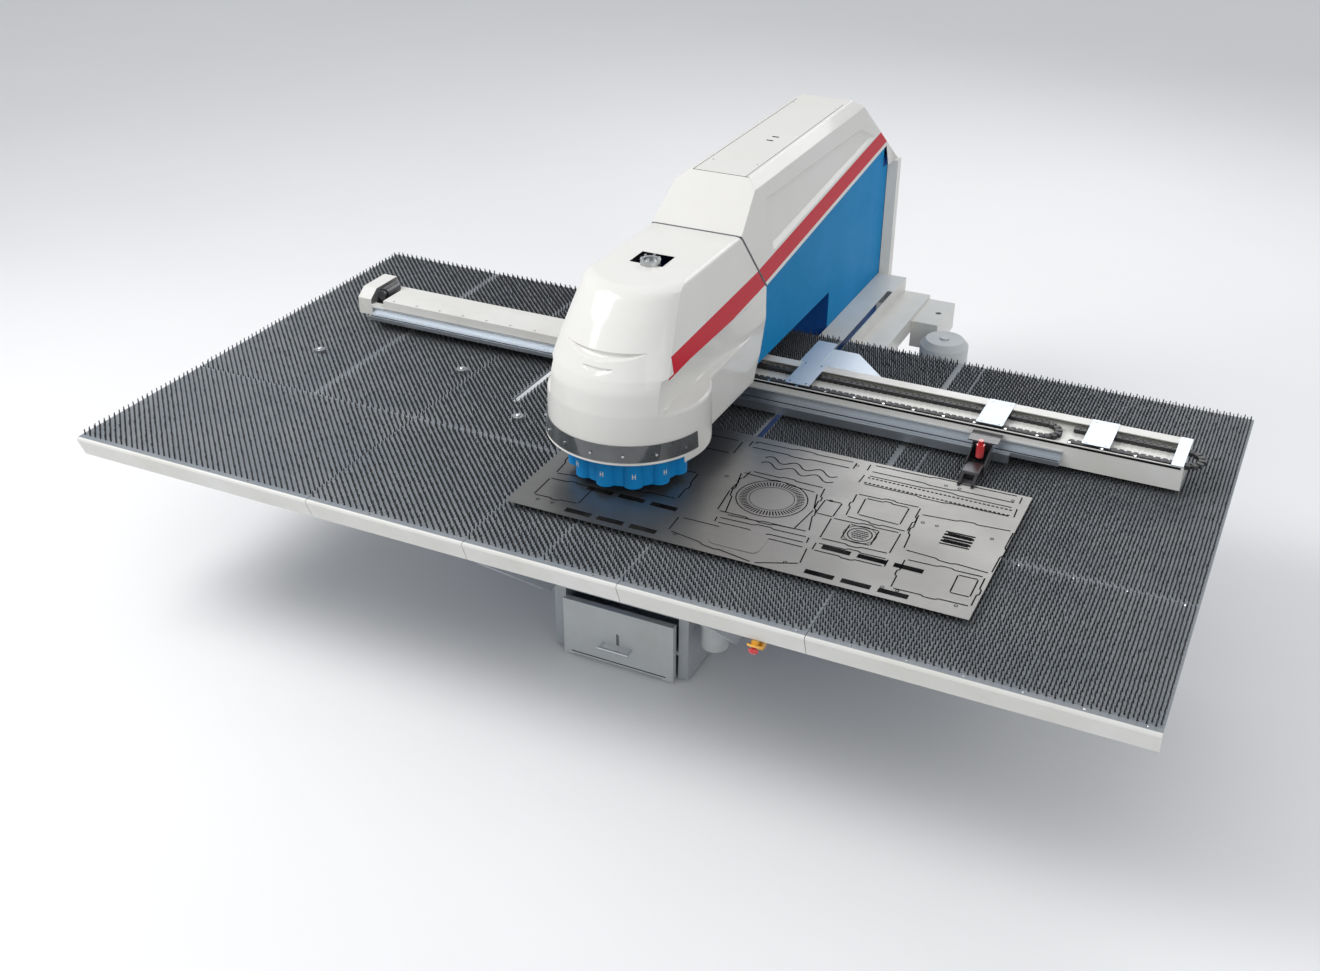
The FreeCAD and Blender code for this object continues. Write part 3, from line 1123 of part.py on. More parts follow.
def rear_housings():
    """White sheet housings behind the table: two slotted ones over the rails, a step and a low box."""
    slotted = []
    for side, left, right, middle in (("Right", "slot_right + 20 - housing_wide", "slot_right + 20",
                                       "slot_right"),
                                      ("Left", "-slot_left - 20", "-slot_left - 20 + housing_wide",
                                       "-slot_left")):
        back = ("table_depth + fit_gap", "frame_back - 40" if side == "Right" else "slot_back + 120")
        outer = block("Slotted" + side, (left, right), back, (CARRIER_UP, "0"))
        inner = block("SlottedInner" + side, (f"{left} + 4", f"{right} - 4"),
                      (f"{back[0]} - 1", f"{back[1]} - 4"), (f"{CARRIER_UP} - 1", "-4"))
        slit = slot_tool("HousingSlot" + side, middle)
        slotted.append(cut("SlottedHousing" + side, outer, inner, slit))
    finish(group("SlottedHousings", *slotted), "slotted_housings")
    edge = "slot_right + 20"
    outer = block("StepOuter", (edge, f"{edge} + step_wide"), ("table_depth + 40", "frame_back - 40"),
                  ("-housing_deep + 2", "-step_down"))
    inner = block("StepInner", (f"{edge} + 4", f"{edge} + step_wide - 4"),
                  ("table_depth + 44", "frame_back - 44"), ("-housing_deep - 1", "-step_down - 4"))
    finish(cut("StepHousing", outer, inner), "step_housing")
    far = f"{edge} + step_wide"
    low = block("LowOuter", (far, f"{far} + step_wide"), ("drum_back + drum_round + 20", "frame_back - 50"),
                ("-housing_deep - 80", "-low_down"))
    hollow = block("LowInner", (f"{far} + 4", f"{far} + step_wide - 4"),
                   ("drum_back + drum_round + 24", "frame_back - 54"),
                   ("-housing_deep - 81", "-low_down - 4"))
    hole = rod("LowHole", "17", "20", f"{far} + step_wide * 0.7", "drum_back + 320", "-low_down - 10")
    finish(cut("LowHousing", low, hollow, hole), "low_housing")
    base = f"{CARRIER_UP} - carrier_tall"
    return finish(turned("RoundHousing", [("0", base), ("drum_round - 8", base),
                                          ("drum_round", f"{base} + 8"),
                                          ("drum_round", "-low_down - 32"),
                                          ("drum_round * 0.78", "-low_down"),
                                          ("26", "-low_down"), ("26", "-low_down + 8"),
                                          ("0", "-low_down + 8")],
                         "drum_across", "drum_back"), "round_housing")


STOP_TURN = Rotation(Vector(1, 0, 0), 150)


def stop_button():
    """Emergency stop under the front fascia: collar with its body, and the mushroom that travels in it."""
    collar = doc.addObject("Part::Cylinder", "StopCollarDisc")
    barrel = doc.addObject("Part::Cylinder", "StopBarrel")
    bore = doc.addObject("Part::Cylinder", "StopBore")
    stem = doc.addObject("Part::Cylinder", "StopStem")
    head = doc.addObject("Part::Cylinder", "StopHead")
    facing = STOP_TURN.multVec(Vector(0, 0, 1))
    starts = {collar: (0, "collar_size", "8"), barrel: (-18, "15", "19"), bore: (-30, "8 + fit_gap", "60"),
              stem: (-10, "8", "21 + stop_travel"), head: (9.0 + size("stop_travel"), "stop_size", "15")}
    for item, (shift, radius, length) in starts.items():
        item.Placement = Placement(Vector(), STOP_TURN)
        tie(item, Radius=radius, Height=length)
        place(item, "stop_across", f"rail_inset - 30 + ({facing.y * shift:.4f})",
              f"-fascia_tall - 26 + ({facing.z * shift:.4f})")
    hanger = block("StopHanger", ("stop_across - 25", "stop_across + 25"),
                   ("rail_inset - 8", "rail_inset + 30"),
                   ("-fascia_tall - 60", RAIL_UP[0]))
    finish(cut("StopCollar", fuse("StopCollarBody", collar, barrel, hanger), bore), "stop_collar")
    return finish(fuse("StopButton", stem, head), "stop_button")


def main():
    for build in (front_plates, rear_plates, front_brushes, rear_brushes, ball_transfers, plate_screws,
                  front_fascia,
                  table_frame, c_frame, side_panels, levelling_feet, rail_carriers, beam_tracks,
                  head_cover, rear_cover, rear_band, drum_rim, guard_window, upper_turret, lower_turret,
                  tooling,
                  spindles, turret_drive, ram_and_cylinder, power_pack, cross_beam, guide_rail, beam_covers,
                  x_drive,
                  energy_chains, chain_bridges, slot_arms, clamp_bar, clamps, workpiece, cheeks, drawer,
                  front_column, struts, rear_housings, stop_button):
        build()
    doc.recompute()
    for item in doc.Objects:
        if "Invalid" in item.State or "Error" in item.State:
            raise RuntimeError(f"{item.Name} ({item.Label}) failed: {item.State}")
    broken = [item.Label for item in PARTS if item.Shape.isNull() or not item.Shape.isValid() or not item.Shape.Solids]
    if broken:
        raise RuntimeError(f"no valid solid: {broken}")
    os.makedirs("parts", exist_ok=True)
    for item in PARTS:
        item.Shape.exportStep(f"parts/{item.Label}.step")
        box = item.Shape.BoundBox
        print(f"{item.Label:22s} solids {len(item.Shape.Solids):3d}  x {box.XMin:8.1f} {box.XMax:8.1f}"
              f"  y {box.YMin:8.1f} {box.YMax:8.1f}  z {box.ZMin:8.1f} {box.ZMax:8.1f}")
    print(len(PARTS), "parts")


main()
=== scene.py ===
"""CNC turret punch press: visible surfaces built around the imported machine."""

import math

import bmesh
import bpy
import numpy as np
from mathutils import Matrix, Vector


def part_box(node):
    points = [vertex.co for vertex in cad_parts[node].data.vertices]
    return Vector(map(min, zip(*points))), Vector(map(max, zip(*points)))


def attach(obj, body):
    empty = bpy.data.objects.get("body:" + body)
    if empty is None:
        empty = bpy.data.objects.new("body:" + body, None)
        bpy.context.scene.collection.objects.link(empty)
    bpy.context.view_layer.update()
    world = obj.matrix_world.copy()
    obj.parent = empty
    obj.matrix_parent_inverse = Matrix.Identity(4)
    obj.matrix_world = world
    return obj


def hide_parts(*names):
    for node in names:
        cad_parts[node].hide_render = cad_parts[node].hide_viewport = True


bl_info = {
    "name": "Turret punch press looks",
    "version": (1, 0, 0),
    "blender": (4, 5, 0),
    "location": "View3D > Sidebar > Punch press",
    "description": "Hoods, brush table, beam and finishes of a turret punch press",
    "category": "Object",
}

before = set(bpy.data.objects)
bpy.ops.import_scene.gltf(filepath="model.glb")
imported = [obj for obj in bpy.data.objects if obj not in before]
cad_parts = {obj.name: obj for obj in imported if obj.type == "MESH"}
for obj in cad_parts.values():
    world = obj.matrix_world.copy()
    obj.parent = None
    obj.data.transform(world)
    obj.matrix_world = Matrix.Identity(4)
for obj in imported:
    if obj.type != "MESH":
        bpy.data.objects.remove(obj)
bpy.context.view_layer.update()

MIDDLE = 1.830          # the machine's middle counted back from the table's front edge
TABLE_TOP = 0.950       # height of the table plates


def on_machine(across, back, up):
    """A point given from the table's front edge and top, in the row frame."""
    return Vector((across, back - MIDDLE, up + TABLE_TOP))


# ------------------------------------------------------------------ settings
def length(name, description, default):
    return bpy.props.FloatProperty(name=name, description=description, default=default, unit="LENGTH")


def tint(name, description, default):
    return bpy.props.FloatVectorProperty(name=name, description=description, default=default,
                                         subtype="COLOR")


class HoodSettings(bpy.types.PropertyGroup):
    wall: length("Wall", "Thickness of the moulded hoods", 0.004)
    soft_edge: length("Soft edge", "Radius of the rear hood's moulded edges", 0.016)
    hood_colour: tint("Hood colour", "Gel coat of the hoods", (0.74, 0.73, 0.70))
    stripe_colour: tint("Stripe colour", "Painted stripe along the hoods", (0.56, 0.018, 0.036))
    panel_colour: tint("Panel colour", "Painted side panels", (0.0, 0.235, 0.54))


class TableSettings(bpy.types.PropertyGroup):
    pitch: length("Tuft pitch", "Distance between rows of tufts", 0.0315)
    tuft_tall: length("Tuft height", "Height of a bristle tuft", 0.0275)
    tuft_foot: length("Tuft foot", "Radius of a tuft at its foot", 0.0040)
    tuft_tip: length("Tuft tip", "Radius of a tuft at its tip", 0.0026)
    bristle_colour: tint("Bristle colour", "Nylon bristles", (0.016, 0.017, 0.019))
    plate_colour: tint("Plate colour", "Painted table plates", (0.21, 0.235, 0.26))


class StageSettings(bpy.types.PropertyGroup):
    lens: bpy.props.FloatProperty(name="Lens", description="Focal length of the camera", default=40.646)
    floor_size: length("Floor size", "Width of the floor", 80.0)


# ------------------------------------------------------------------ node helpers
def new_material(name):
    finish = bpy.data.materials.new(name)
    finish.use_nodes = True
    return finish, finish.node_tree.nodes, finish.node_tree.links, finish.node_tree.nodes["Principled BSDF"]


def settle(made, **sockets):
    """Give a node's inputs their values; an underscore in a name stands for a space."""
    for name, value in sockets.items():
        made.inputs[name.replace("_", " ")].default_value = value
    return made


def node(nodes, kind, **sockets):
    return settle(nodes.new(kind), **sockets)


def math_node(nodes, links, operation, *values):
    made = nodes.new("ShaderNodeMath")
    made.operation = operation
    for number, value in enumerate(values):
        if isinstance(value, (int, float)):
            made.inputs[number].default_value = value
        else:
            links.new(value, made.inputs[number])
    return made.outputs[0]


def colour_mix(nodes, links, share, first, second):
    mix = nodes.new("ShaderNodeMix")
    mix.data_type = "RGBA"
    for number, value in ((0, share), (6, first), (7, second)):
        if isinstance(value, (tuple, list)):
            mix.inputs[number].default_value = (*value[:3], 1.0)
        elif isinstance(value, (int, float)):
            mix.inputs[number].default_value = value
        else:
            links.new(value, mix.inputs[number])
    return mix.outputs[2]


def group_of(name, inputs, outputs):
    group = bpy.data.node_groups.new(name, "ShaderNodeTree")
    for label, kind, value in inputs:
        socket = group.interface.new_socket(name=label, in_out="INPUT", socket_type=kind)
        if value is not None:
            socket.default_value = value
    for label, kind in outputs:
        group.interface.new_socket(name=label, in_out="OUTPUT", socket_type=kind)
    inside, outside = group.nodes.new("NodeGroupInput"), group.nodes.new("NodeGroupOutput")
    return group, group.nodes, group.links, inside, outside


def speckle_group():
    """Slow and fine noise: a mask for worn or dusty patches and a height for an orange-peel skin."""
    group, nodes, links, inside, outside = group_of(
        "PaintSkin", [("Patch scale", "NodeSocketFloat", 3.0), ("Grain scale", "NodeSocketFloat", 300.0)],
        [("Patches", "NodeSocketFloat"), ("Grain", "NodeSocketFloat")])
    where = nodes.new("ShaderNodeTexCoord")
    slow = node(nodes, "ShaderNodeTexNoise", Detail=4.0, Roughness=0.6)
    fine = node(nodes, "ShaderNodeTexNoise", Detail=2.0, Roughness=0.5)
    for noise, label in ((slow, "Patch scale"), (fine, "Grain scale")):
        links.new(where.outputs["Object"], noise.inputs["Vector"])
        links.new(inside.outputs[label], noise.inputs["Scale"])
    spread = node(nodes, "ShaderNodeMapRange", From_Min=0.35, From_Max=0.68)
    links.new(slow.outputs["Fac"], spread.inputs["Value"])
    links.new(spread.outputs["Result"], outside.inputs["Patches"])
    links.new(fine.outputs["Fac"], outside.inputs["Grain"])
    return group


def brushed_group():
    """Drawn or ground metal: streaks along one axis."""
    group, nodes, links, inside, outside = group_of(
        "DrawnMetal", [("Stretch", "NodeSocketVector", (2.0, 60.0, 60.0)),
                       ("Scale", "NodeSocketFloat", 12.0)],
        [("Streaks", "NodeSocketFloat"), ("Patches", "NodeSocketFloat")])
    where = nodes.new("ShaderNodeTexCoord")
    shaped = nodes.new("ShaderNodeVectorMath")
    shaped.operation = "MULTIPLY"
    links.new(where.outputs["Object"], shaped.inputs[0])
    links.new(inside.outputs["Stretch"], shaped.inputs[1])
    streak = node(nodes, "ShaderNodeTexNoise", Detail=5.0, Roughness=0.65)
    links.new(shaped.outputs[0], streak.inputs["Vector"])
    links.new(inside.outputs["Scale"], streak.inputs["Scale"])
    slow = node(nodes, "ShaderNodeTexNoise", Scale=1.7, Detail=3.0)
    links.new(where.outputs["Object"], slow.inputs["Vector"])
    links.new(streak.outputs["Fac"], outside.inputs["Streaks"])
    links.new(slow.outputs["Fac"], outside.inputs["Patches"])
    return group


def wear_group():
    """Light rubbed edges, found from how pointed the surface is."""
    group, nodes, links, inside, outside = group_of(
        "EdgeWear", [("Reach", "NodeSocketFloat", 0.004), ("Amount", "NodeSocketFloat", 0.6)],
        [("Wear", "NodeSocketFloat")])
    where = nodes.new("ShaderNodeTexCoord")
    shape = nodes.new("ShaderNodeNewGeometry")
    noise = node(nodes, "ShaderNodeTexNoise", Scale=25.0, Detail=4.0)
    links.new(where.outputs["Object"], noise.inputs["Vector"])
    ridge = node(nodes, "ShaderNodeMapRange", From_Min=0.52, From_Max=0.60)
    links.new(shape.outputs["Pointiness"], ridge.inputs["Value"])
    broken = math_node(nodes, links, "MULTIPLY", ridge.outputs["Result"], noise.outputs["Fac"])
    links.new(math_node(nodes, links, "MULTIPLY", broken, inside.outputs["Amount"]), outside.inputs["Wear"])
    return group


GROUPS = {}


def shared(name):
    if name not in GROUPS:
        GROUPS[name] = {"skin": speckle_group, "drawn": brushed_group, "wear": wear_group}[name]()
    return GROUPS[name]


def place_group(nodes, name, **sockets):
    made = nodes.new("ShaderNodeGroup")
    made.node_tree = shared(name)
    return settle(made, **sockets)


def bump(nodes, links, shader, height, strength, distance):
    made = node(nodes, "ShaderNodeBump", Strength=strength, Distance=distance)
    links.new(height, made.inputs["Height"])
    links.new(made.outputs["Normal"], shader.inputs["Normal"])


def drive(nodes, links, shader, socket, mask, swing, rest):
    """Let a mask move one of the shader's values away from its rest."""
    links.new(math_node(nodes, links, "MULTIPLY_ADD", mask, swing, rest), shader.inputs[socket])


def object_axes(nodes, links):
    """The object's own X, Y and Z at the shaded point."""
    parts = nodes.new("ShaderNodeSeparateXYZ")
    links.new(nodes.new("ShaderNodeTexCoord").outputs["Object"], parts.inputs[0])
    return parts.outputs


def painted(name, colour, rough=0.35, coat=0.0, dirt=0.12, grain=0.12, grain_scale=420.0, gloss=0.4,
            rubbed=0.35):
    """Sprayed or powder-coated paint with faint grime, an orange-peel skin and rubbed edges."""
    finish, nodes, links, shader = new_material(name)
    skin = place_group(nodes, "skin", Patch_scale=2.3, Grain_scale=grain_scale)
    wear = place_group(nodes, "wear", Amount=rubbed)
    dull = tuple(channel * (1 - dirt) * shade for channel, shade in zip(colour, (0.99, 0.97, 0.93)))
    shade = colour_mix(nodes, links, skin.outputs["Patches"], colour, dull)
    light = tuple(min(1.0, channel * 0.6 + 0.35) for channel in colour)
    links.new(colour_mix(nodes, links, wear.outputs["Wear"], shade, light), shader.inputs["Base Color"])
    drive(nodes, links, shader, "Roughness", skin.outputs["Patches"], 0.10, rough - 0.05)
    settle(shader, Coat_Weight=coat, Coat_Roughness=0.06, Specular_IOR_Level=gloss)
    bump(nodes, links, shader, skin.outputs["Grain"], grain, 0.0006)
    return finish


def metal(name, colour, rough=0.3, stretch=(2.0, 60.0, 60.0), streaks=0.25, bite=0.15, scale=12.0):
    """Machined, ground or galvanised metal."""
    finish, nodes, links, shader = new_material(name)
    drawn = place_group(nodes, "drawn", Stretch=stretch, Scale=scale)
    dark = tuple(channel * (1 - streaks) for channel in colour)
    fine = colour_mix(nodes, links, drawn.outputs["Streaks"], dark, colour)
    cloudy = tuple(channel * 0.86 for channel in colour)
    links.new(colour_mix(nodes, links, drawn.outputs["Patches"], cloudy, fine), shader.inputs["Base Color"])
    drive(nodes, links, shader, "Roughness", drawn.outputs["Streaks"], 0.22, rough - 0.10)
    settle(shader, Metallic=1.0)
    bump(nodes, links, shader, drawn.outputs["Streaks"], bite, 0.0004)
    return finish


def plastic(name, colour, rough=0.5, grain=0.25, gloss=0.5):
    finish, nodes, links, shader = new_material(name)
    skin = place_group(nodes, "skin", Patch_scale=6.0, Grain_scale=900.0)
    dusty = tuple(channel * 0.7 + 0.02 for channel in colour)
    links.new(colour_mix(nodes, links, skin.outputs["Patches"], colour, dusty), shader.inputs["Base Color"])
    drive(nodes, links, shader, "Roughness", skin.outputs["Patches"], 0.15, rough - 0.07)
    bump(nodes, links, shader, skin.outputs["Grain"], grain, 0.0004)
    settle(shader, Specular_IOR_Level=gloss)
    return finish


def line_mask(nodes, links, along, up, start, end, above):
    """1 above (or below) the straight line from start to end, each (back, up)."""
    slope = (end[1] - start[1]) / (end[0] - start[0])
    level = math_node(nodes, links, "MULTIPLY_ADD", along, slope,
                      start[1] + TABLE_TOP - slope * (start[0] - MIDDLE))
    return math_node(nodes, links, "GREATER_THAN", up, level) if above else math_node(nodes, links,
            "LESS_THAN", up, level)


GEL_COAT = 0.32         # clear coat over the hoods
STRIPE_COAT = 0.02      # clear coat over their painted stripe
SIDE_FACING = 0.6       # how squarely a face looks sideways to carry the stripe


def stripe_mask(nodes, links, low, high, stripe_from):
    """1 on the hoods' sides between two lines, behind the stripe's front end."""
    axes = object_axes(nodes, links)
    over = line_mask(nodes, links, axes["Y"], axes["Z"], *low, True)
    under = line_mask(nodes, links, axes["Y"], axes["Z"], *high, False)
    behind = math_node(nodes, links, "GREATER_THAN", axes["Y"], stripe_from - MIDDLE)
    facing = nodes.new("ShaderNodeSeparateXYZ")
    links.new(nodes.new("ShaderNodeNewGeometry").outputs["True Normal"], facing.inputs[0])
    squarely = math_node(nodes, links, "ABSOLUTE", facing.outputs["X"])
    side = math_node(nodes, links, "GREATER_THAN", squarely, SIDE_FACING)
    return math_node(nodes, links, "MULTIPLY", math_node(nodes, links, "MULTIPLY", over, under),
                     math_node(nodes, links, "MULTIPLY", behind, side))


def gel_coat(name, colour, stripe=None, stripe_lines=(), stripe_from=0.0):
    """Glossy gel coat with a faint ripple, grime and a painted stripe between two lines on its sides."""
    finish, nodes, links, shader = new_material(name)
    skin = place_group(nodes, "skin", Patch_scale=1.4, Grain_scale=90.0)
    dull = tuple(channel * shade for channel, shade in zip(colour, (0.95, 0.945, 0.93)))
    shade = colour_mix(nodes, links, skin.outputs["Patches"], colour, dull)
    settle(shader, Coat_Weight=GEL_COAT, Coat_Roughness=0.05, Specular_IOR_Level=0.08)
    if stripe is not None:
        mask = stripe_mask(nodes, links, *stripe_lines, stripe_from)
        shade = colour_mix(nodes, links, mask, shade, stripe)
        drive(nodes, links, shader, "Coat Weight", mask, STRIPE_COAT - GEL_COAT, GEL_COAT)
    links.new(shade, shader.inputs["Base Color"])
    drive(nodes, links, shader, "Roughness", skin.outputs["Patches"], 0.06, 0.22)
    bump(nodes, links, shader, skin.outputs["Grain"], 0.05, 0.0008)
    return finish


def clear_guard(name):
    finish, nodes, links, shader = new_material(name)
    skin = place_group(nodes, "skin", Patch_scale=5.0, Grain_scale=60.0)
    tint = colour_mix(nodes, links, skin.outputs["Patches"], (0.10, 0.11, 0.12), (0.20, 0.21, 0.22))
    links.new(tint, shader.inputs["Base Color"])
    settle(shader, Roughness=0.08, Coat_Weight=1.0, Transmission_Weight=0.55, IOR=1.45)
    bump(nodes, links, shader, skin.outputs["Grain"], 0.02, 0.001)
    return finish


def table_paint(name, colour):
    """Powder-coated plate under the tufts, dusty between them."""
    finish, nodes, links, shader = new_material(name)
    skin = place_group(nodes, "skin", Patch_scale=4.0, Grain_scale=500.0)
    dusty = tuple(channel * 0.6 + 0.14 for channel in colour)
    links.new(colour_mix(nodes, links, skin.outputs["Patches"], colour, dusty), shader.inputs["Base Color"])
    settle(shader, Roughness=0.55)
    bump(nodes, links, shader, skin.outputs["Grain"], 0.2, 0.0005)
    return finish


def sheet_finish(name):
    """Mill-finish sheet: long rolling streaks, cloudy reflections and light handling marks."""
    finish, nodes, links, shader = new_material(name)
    drawn = place_group(nodes, "drawn", Stretch=(1.0, 26.0, 26.0), Scale=4.0)
    skin = place_group(nodes, "skin", Patch_scale=1.1, Grain_scale=240.0)
    fine = colour_mix(nodes, links, drawn.outputs["Streaks"], (0.20, 0.20, 0.195), (0.30, 0.295, 0.285))
    links.new(colour_mix(nodes, links, skin.outputs["Patches"], fine, (0.25, 0.245, 0.235)),
              shader.inputs["Base Color"])
    drive(nodes, links, shader, "Roughness", skin.outputs["Patches"], 0.14, 0.30)
    settle(shader, Metallic=0.9)
    bump(nodes, links, shader, drawn.outputs["Streaks"], 0.06, 0.0004)
    return finish


def bristle_finish(name, colour):
    """Black nylon bundles, turning a little grey towards their tips."""
    finish, nodes, links, shader = new_material(name)
    # Grey rising with height alone: darker at the foot, lighter towards the tips.
    rise = node(nodes, "ShaderNodeMapRange", From_Min=TABLE_TOP + 0.018, From_Max=TABLE_TOP + 0.028)
    links.new(object_axes(nodes, links)["Z"], rise.inputs["Value"])
    strands = place_group(nodes, "drawn", Stretch=(90.0, 90.0, 4.0), Scale=16.0)
    tip = tuple(channel + 0.075 for channel in colour)
    shade = colour_mix(nodes, links, rise.outputs["Result"], colour, tip)
    dark = tuple(channel * 0.35 for channel in colour)
    links.new(colour_mix(nodes, links, strands.outputs["Streaks"], dark, shade), shader.inputs["Base Color"])
    settle(shader, Roughness=0.55)
    bump(nodes, links, shader, strands.outputs["Streaks"], 0.5, 0.0008)
    return finish


FINISHES = {}


def mix_finishes():
    hood = bpy.context.scene.punch_hood
    table = bpy.context.scene.punch_table
    FINISHES.update({
        "hood_front": gel_coat("HoodFront", tuple(hood.hood_colour), tuple(hood.stripe_colour),
                               (((0.75, 0.562), (1.69, 0.617)), ((0.75, 0.670), (1.65, 0.703))), 0.690),
        "hood_rear": gel_coat("HoodRear", tuple(hood.hood_colour), tuple(hood.stripe_colour),
                              (((1.70, 0.626), (3.52, 0.790)), ((1.62, 0.703), (3.40, 0.858))), 1.5),
        "hood_plain": gel_coat("HoodPlain", tuple(hood.hood_colour)),
        "panel_blue": painted("PanelBlue", tuple(hood.panel_colour), 0.48, 0.0, 0.05, 0.05, gloss=0.04,
                              rubbed=0.06),
        # The C-frame's own blue, taken darker from its throat where it lies in shade: partly painted shade.
        "frame_blue": painted("FrameBlue", (0.003, 0.085, 0.36), 0.46, 0.0, 0.1, 0.08, gloss=0.06,
                              rubbed=0.08),
        "turret_blue": painted("TurretBlue", (0.0, 0.25, 0.62), 0.42, 0.0, 0.08, 0.08, gloss=0.12,
                               rubbed=0.06),
        "table": table_paint("TablePaint", tuple(table.plate_colour)),
        "bristle": bristle_finish("Bristle", tuple(table.bristle_colour)),
        "white": painted("WhitePaint", (0.70, 0.70, 0.67), 0.36, 0.15, 0.10, 0.15),
        "grey": painted("GreyPaint", (0.40, 0.43, 0.46), 0.38, 0.1, 0.12, 0.2),
        "light_grey": painted("LightGreyPaint", (0.54, 0.57, 0.58), 0.38, 0.1, 0.10, 0.2),
        "galvanised": metal("Galvanised", (0.62, 0.68, 0.74), 0.42, (3.0, 9.0, 9.0), 0.12, 0.06, 9.0),
        "rail": metal("AnodisedRail", (0.70, 0.74, 0.78), 0.34, (1.0, 80.0, 80.0), 0.16, 0.08),
        "steel": metal("MachinedSteel", (0.55, 0.56, 0.57), 0.30, (40.0, 40.0, 3.0)),
        "bright": metal("BrightSteel", (0.80, 0.81, 0.83), 0.14, (20.0, 20.0, 4.0), 0.08, 0.04),
        "iron": metal("GroundIron", (0.27, 0.28, 0.29), 0.42, (20.0, 20.0, 20.0)),
        "black_steel": painted("BlackenedSteel", (0.022, 0.022, 0.025), 0.32, 0.2, 0.1, 0.1),
        "jaw": metal("ForgedJaw", (0.10, 0.10, 0.105), 0.34, (20.0, 20.0, 6.0)),
        "black": plastic("BlackPlastic", (0.018, 0.018, 0.020), 0.45),
        "rubber": plastic("SealRubber", (0.13, 0.14, 0.15), 0.62),
        "red": painted("RedEnamel", (0.58, 0.015, 0.020), 0.25, 0.5, 0.1, 0.05),
        "yellow": painted("YellowPlastic", (0.85, 0.42, 0.01), 0.32, 0.3, 0.1, 0.05),
        "guard": clear_guard("ClearGuard"),
        "sheet": sheet_finish("RolledSheet"),
        # Near-black painted shade, laid where cuts, seams, slots and gaps fall into shadow.
        "cut": plastic("CutShadow", (0.004, 0.004, 0.0045), 0.95, gloss=0.0),
    })


FINISH_NODES = {
    "frame_blue": ("c_frame",),
    "panel_blue": ("side_panels",),
    "white": ("rear_band", "front_fascia", "slotted_housings", "step_housing", "low_housing",
              "cross_beam", "beam_lid", "beam_end_cover"),
    "hood_plain": ("drum_rim",),
    "guard": ("guard_window",),
    "bright": ("cover_bolts", "plate_screws", "transfer_balls", "ram", "drawer_handle"),
    "steel": ("ram_cylinder", "upper_spindle", "lower_spindle", "levelling_feet", "beam_tracks",
              "ball_cups", "punches", "dies", "motor_pulley"),
    "black_steel": ("turret_motor", "carriage_motor", "clamp_bodies"),
    "rubber": ("turret_belt",),
    "grey": ("pump_motor", "oil_tank", "front_struts", "table_frame", "rail_carriers", "drawer_bay"),
    "light_grey": ("front_column", "round_housing", "drawer_front"),
    "table": ("front_table_plates", "rear_table_plates"),
    "bristle": ("front_brushes", "rear_brushes"),
    "yellow": ("stop_collar",),
    "rail": ("guide_rail", "clamp_bar"),
    "black": ("energy_chains",),
    "galvanised": ("chain_bridges", "slot_arms", "drawer_bin"),
    "red": ("clamp_cylinders", "stop_button"),
    "sheet": ("workpiece_sheet",),
    "jaw": ("clamp_jaw_1", "clamp_jaw_2"),
    "turret_blue": ("upper_turret",),
    "iron": ("lower_turret",),
    "hood_front": ("head_cover",),
    "hood_rear": ("rear_cover",),
}
NODE_FINISH = {name: finish for finish, names in FINISH_NODES.items() for name in names}


# ------------------------------------------------------------------ mesh helpers
WELD = 1e-5             # points closer than this are one point


def mesh_data(name, mesh):
    """A bmesh turned into mesh data and freed."""
    data = bpy.data.meshes.new(name)
    mesh.to_mesh(data)
    mesh.free()
    return data


def linked(name, data):
    """A new object in the scene."""
    made = bpy.data.objects.new(name, data)
    bpy.context.scene.collection.objects.link(made)
    return made


def piece(name, mesh, body, finish, slot, *nodes_replaced, smooth=True):
    """Turn a bmesh into a named object that rides on a body."""
    data = mesh_data(name, mesh)
    made = linked(name, data)
    data.materials.append(FINISHES[finish])
    if smooth:
        data.shade_smooth()
    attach(made, body)
    if nodes_replaced:
        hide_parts(*nodes_replaced)
    return made


def soften(made, width, segments=3, angle=28.0):
    edge = made.modifiers.new("Soft edges", "BEVEL")
    edge.width = width
    edge.segments = segments
    edge.limit_method = "ANGLE"
    edge.angle_limit = math.radians(angle)
    edge.miter_outer = "MITER_ARC"


def thicken(made, name, thickness):
    """Give an open skin its wall, inwards."""
    wall = made.modifiers.new(name, "SOLIDIFY")
    wall.thickness = thickness
    wall.offset = -1


def even_shading(made):
    weights = made.modifiers.new("Even shading", "WEIGHTED_NORMAL")
    weights.keep_sharp = True
    weights.weight = 80


def sharp_by_angle(made, angle=30.0):
    """Smooth shading that still breaks at hard corners."""
    made.data.set_sharp_from_angle(angle=math.radians(angle))


def cuboid(mesh, low, high):
    """A box between two corners added to a bmesh; its vertices come back."""
    low, high = Vector(low), Vector(high)
    size = high - low
    matrix = Matrix.Translation((low + high) / 2) @ Matrix.Diagonal((*size, 1))
    return bmesh.ops.create_cube(mesh, size=1.0, matrix=matrix)["verts"]


def machine_box(mesh, across, back, up):
    return cuboid(mesh, on_machine(across[0], back[0], up[0]), on_machine(across[1], back[1], up[1]))


def disc(mesh, centre, radius, depth, direction=(0, 0, 1), segments=24, tip=None):
    """A cylinder or cone standing on centre and pointing along direction."""
    turn = Vector(direction).to_track_quat("Z", "Y").to_matrix().to_4x4()
    matrix = Matrix.Translation(centre) @ turn @ Matrix.Translation((0, 0, depth / 2))
    return bmesh.ops.create_cone(mesh, cap_ends=True, segments=segments, radius1=radius,
                                 radius2=radius if tip is None else tip, depth=depth, matrix=matrix)["verts"]


def with_edges(faces):
    """Faces with their edges and vertices, each once."""
    return list({item for face in faces for item in (*face.verts, *face.edges, face)})


def slice_at(mesh, point, normal, faces=None, dist=WELD, **options):
    """Cut new edges along a plane, through all faces or only through those given."""
    geometry = mesh.verts[:] + mesh.edges[:] + mesh.faces[:] if faces is None else with_edges(faces)
    return bmesh.ops.bisect_plane(mesh, geom=geometry, dist=dist, plane_co=point, plane_no=normal, **options)


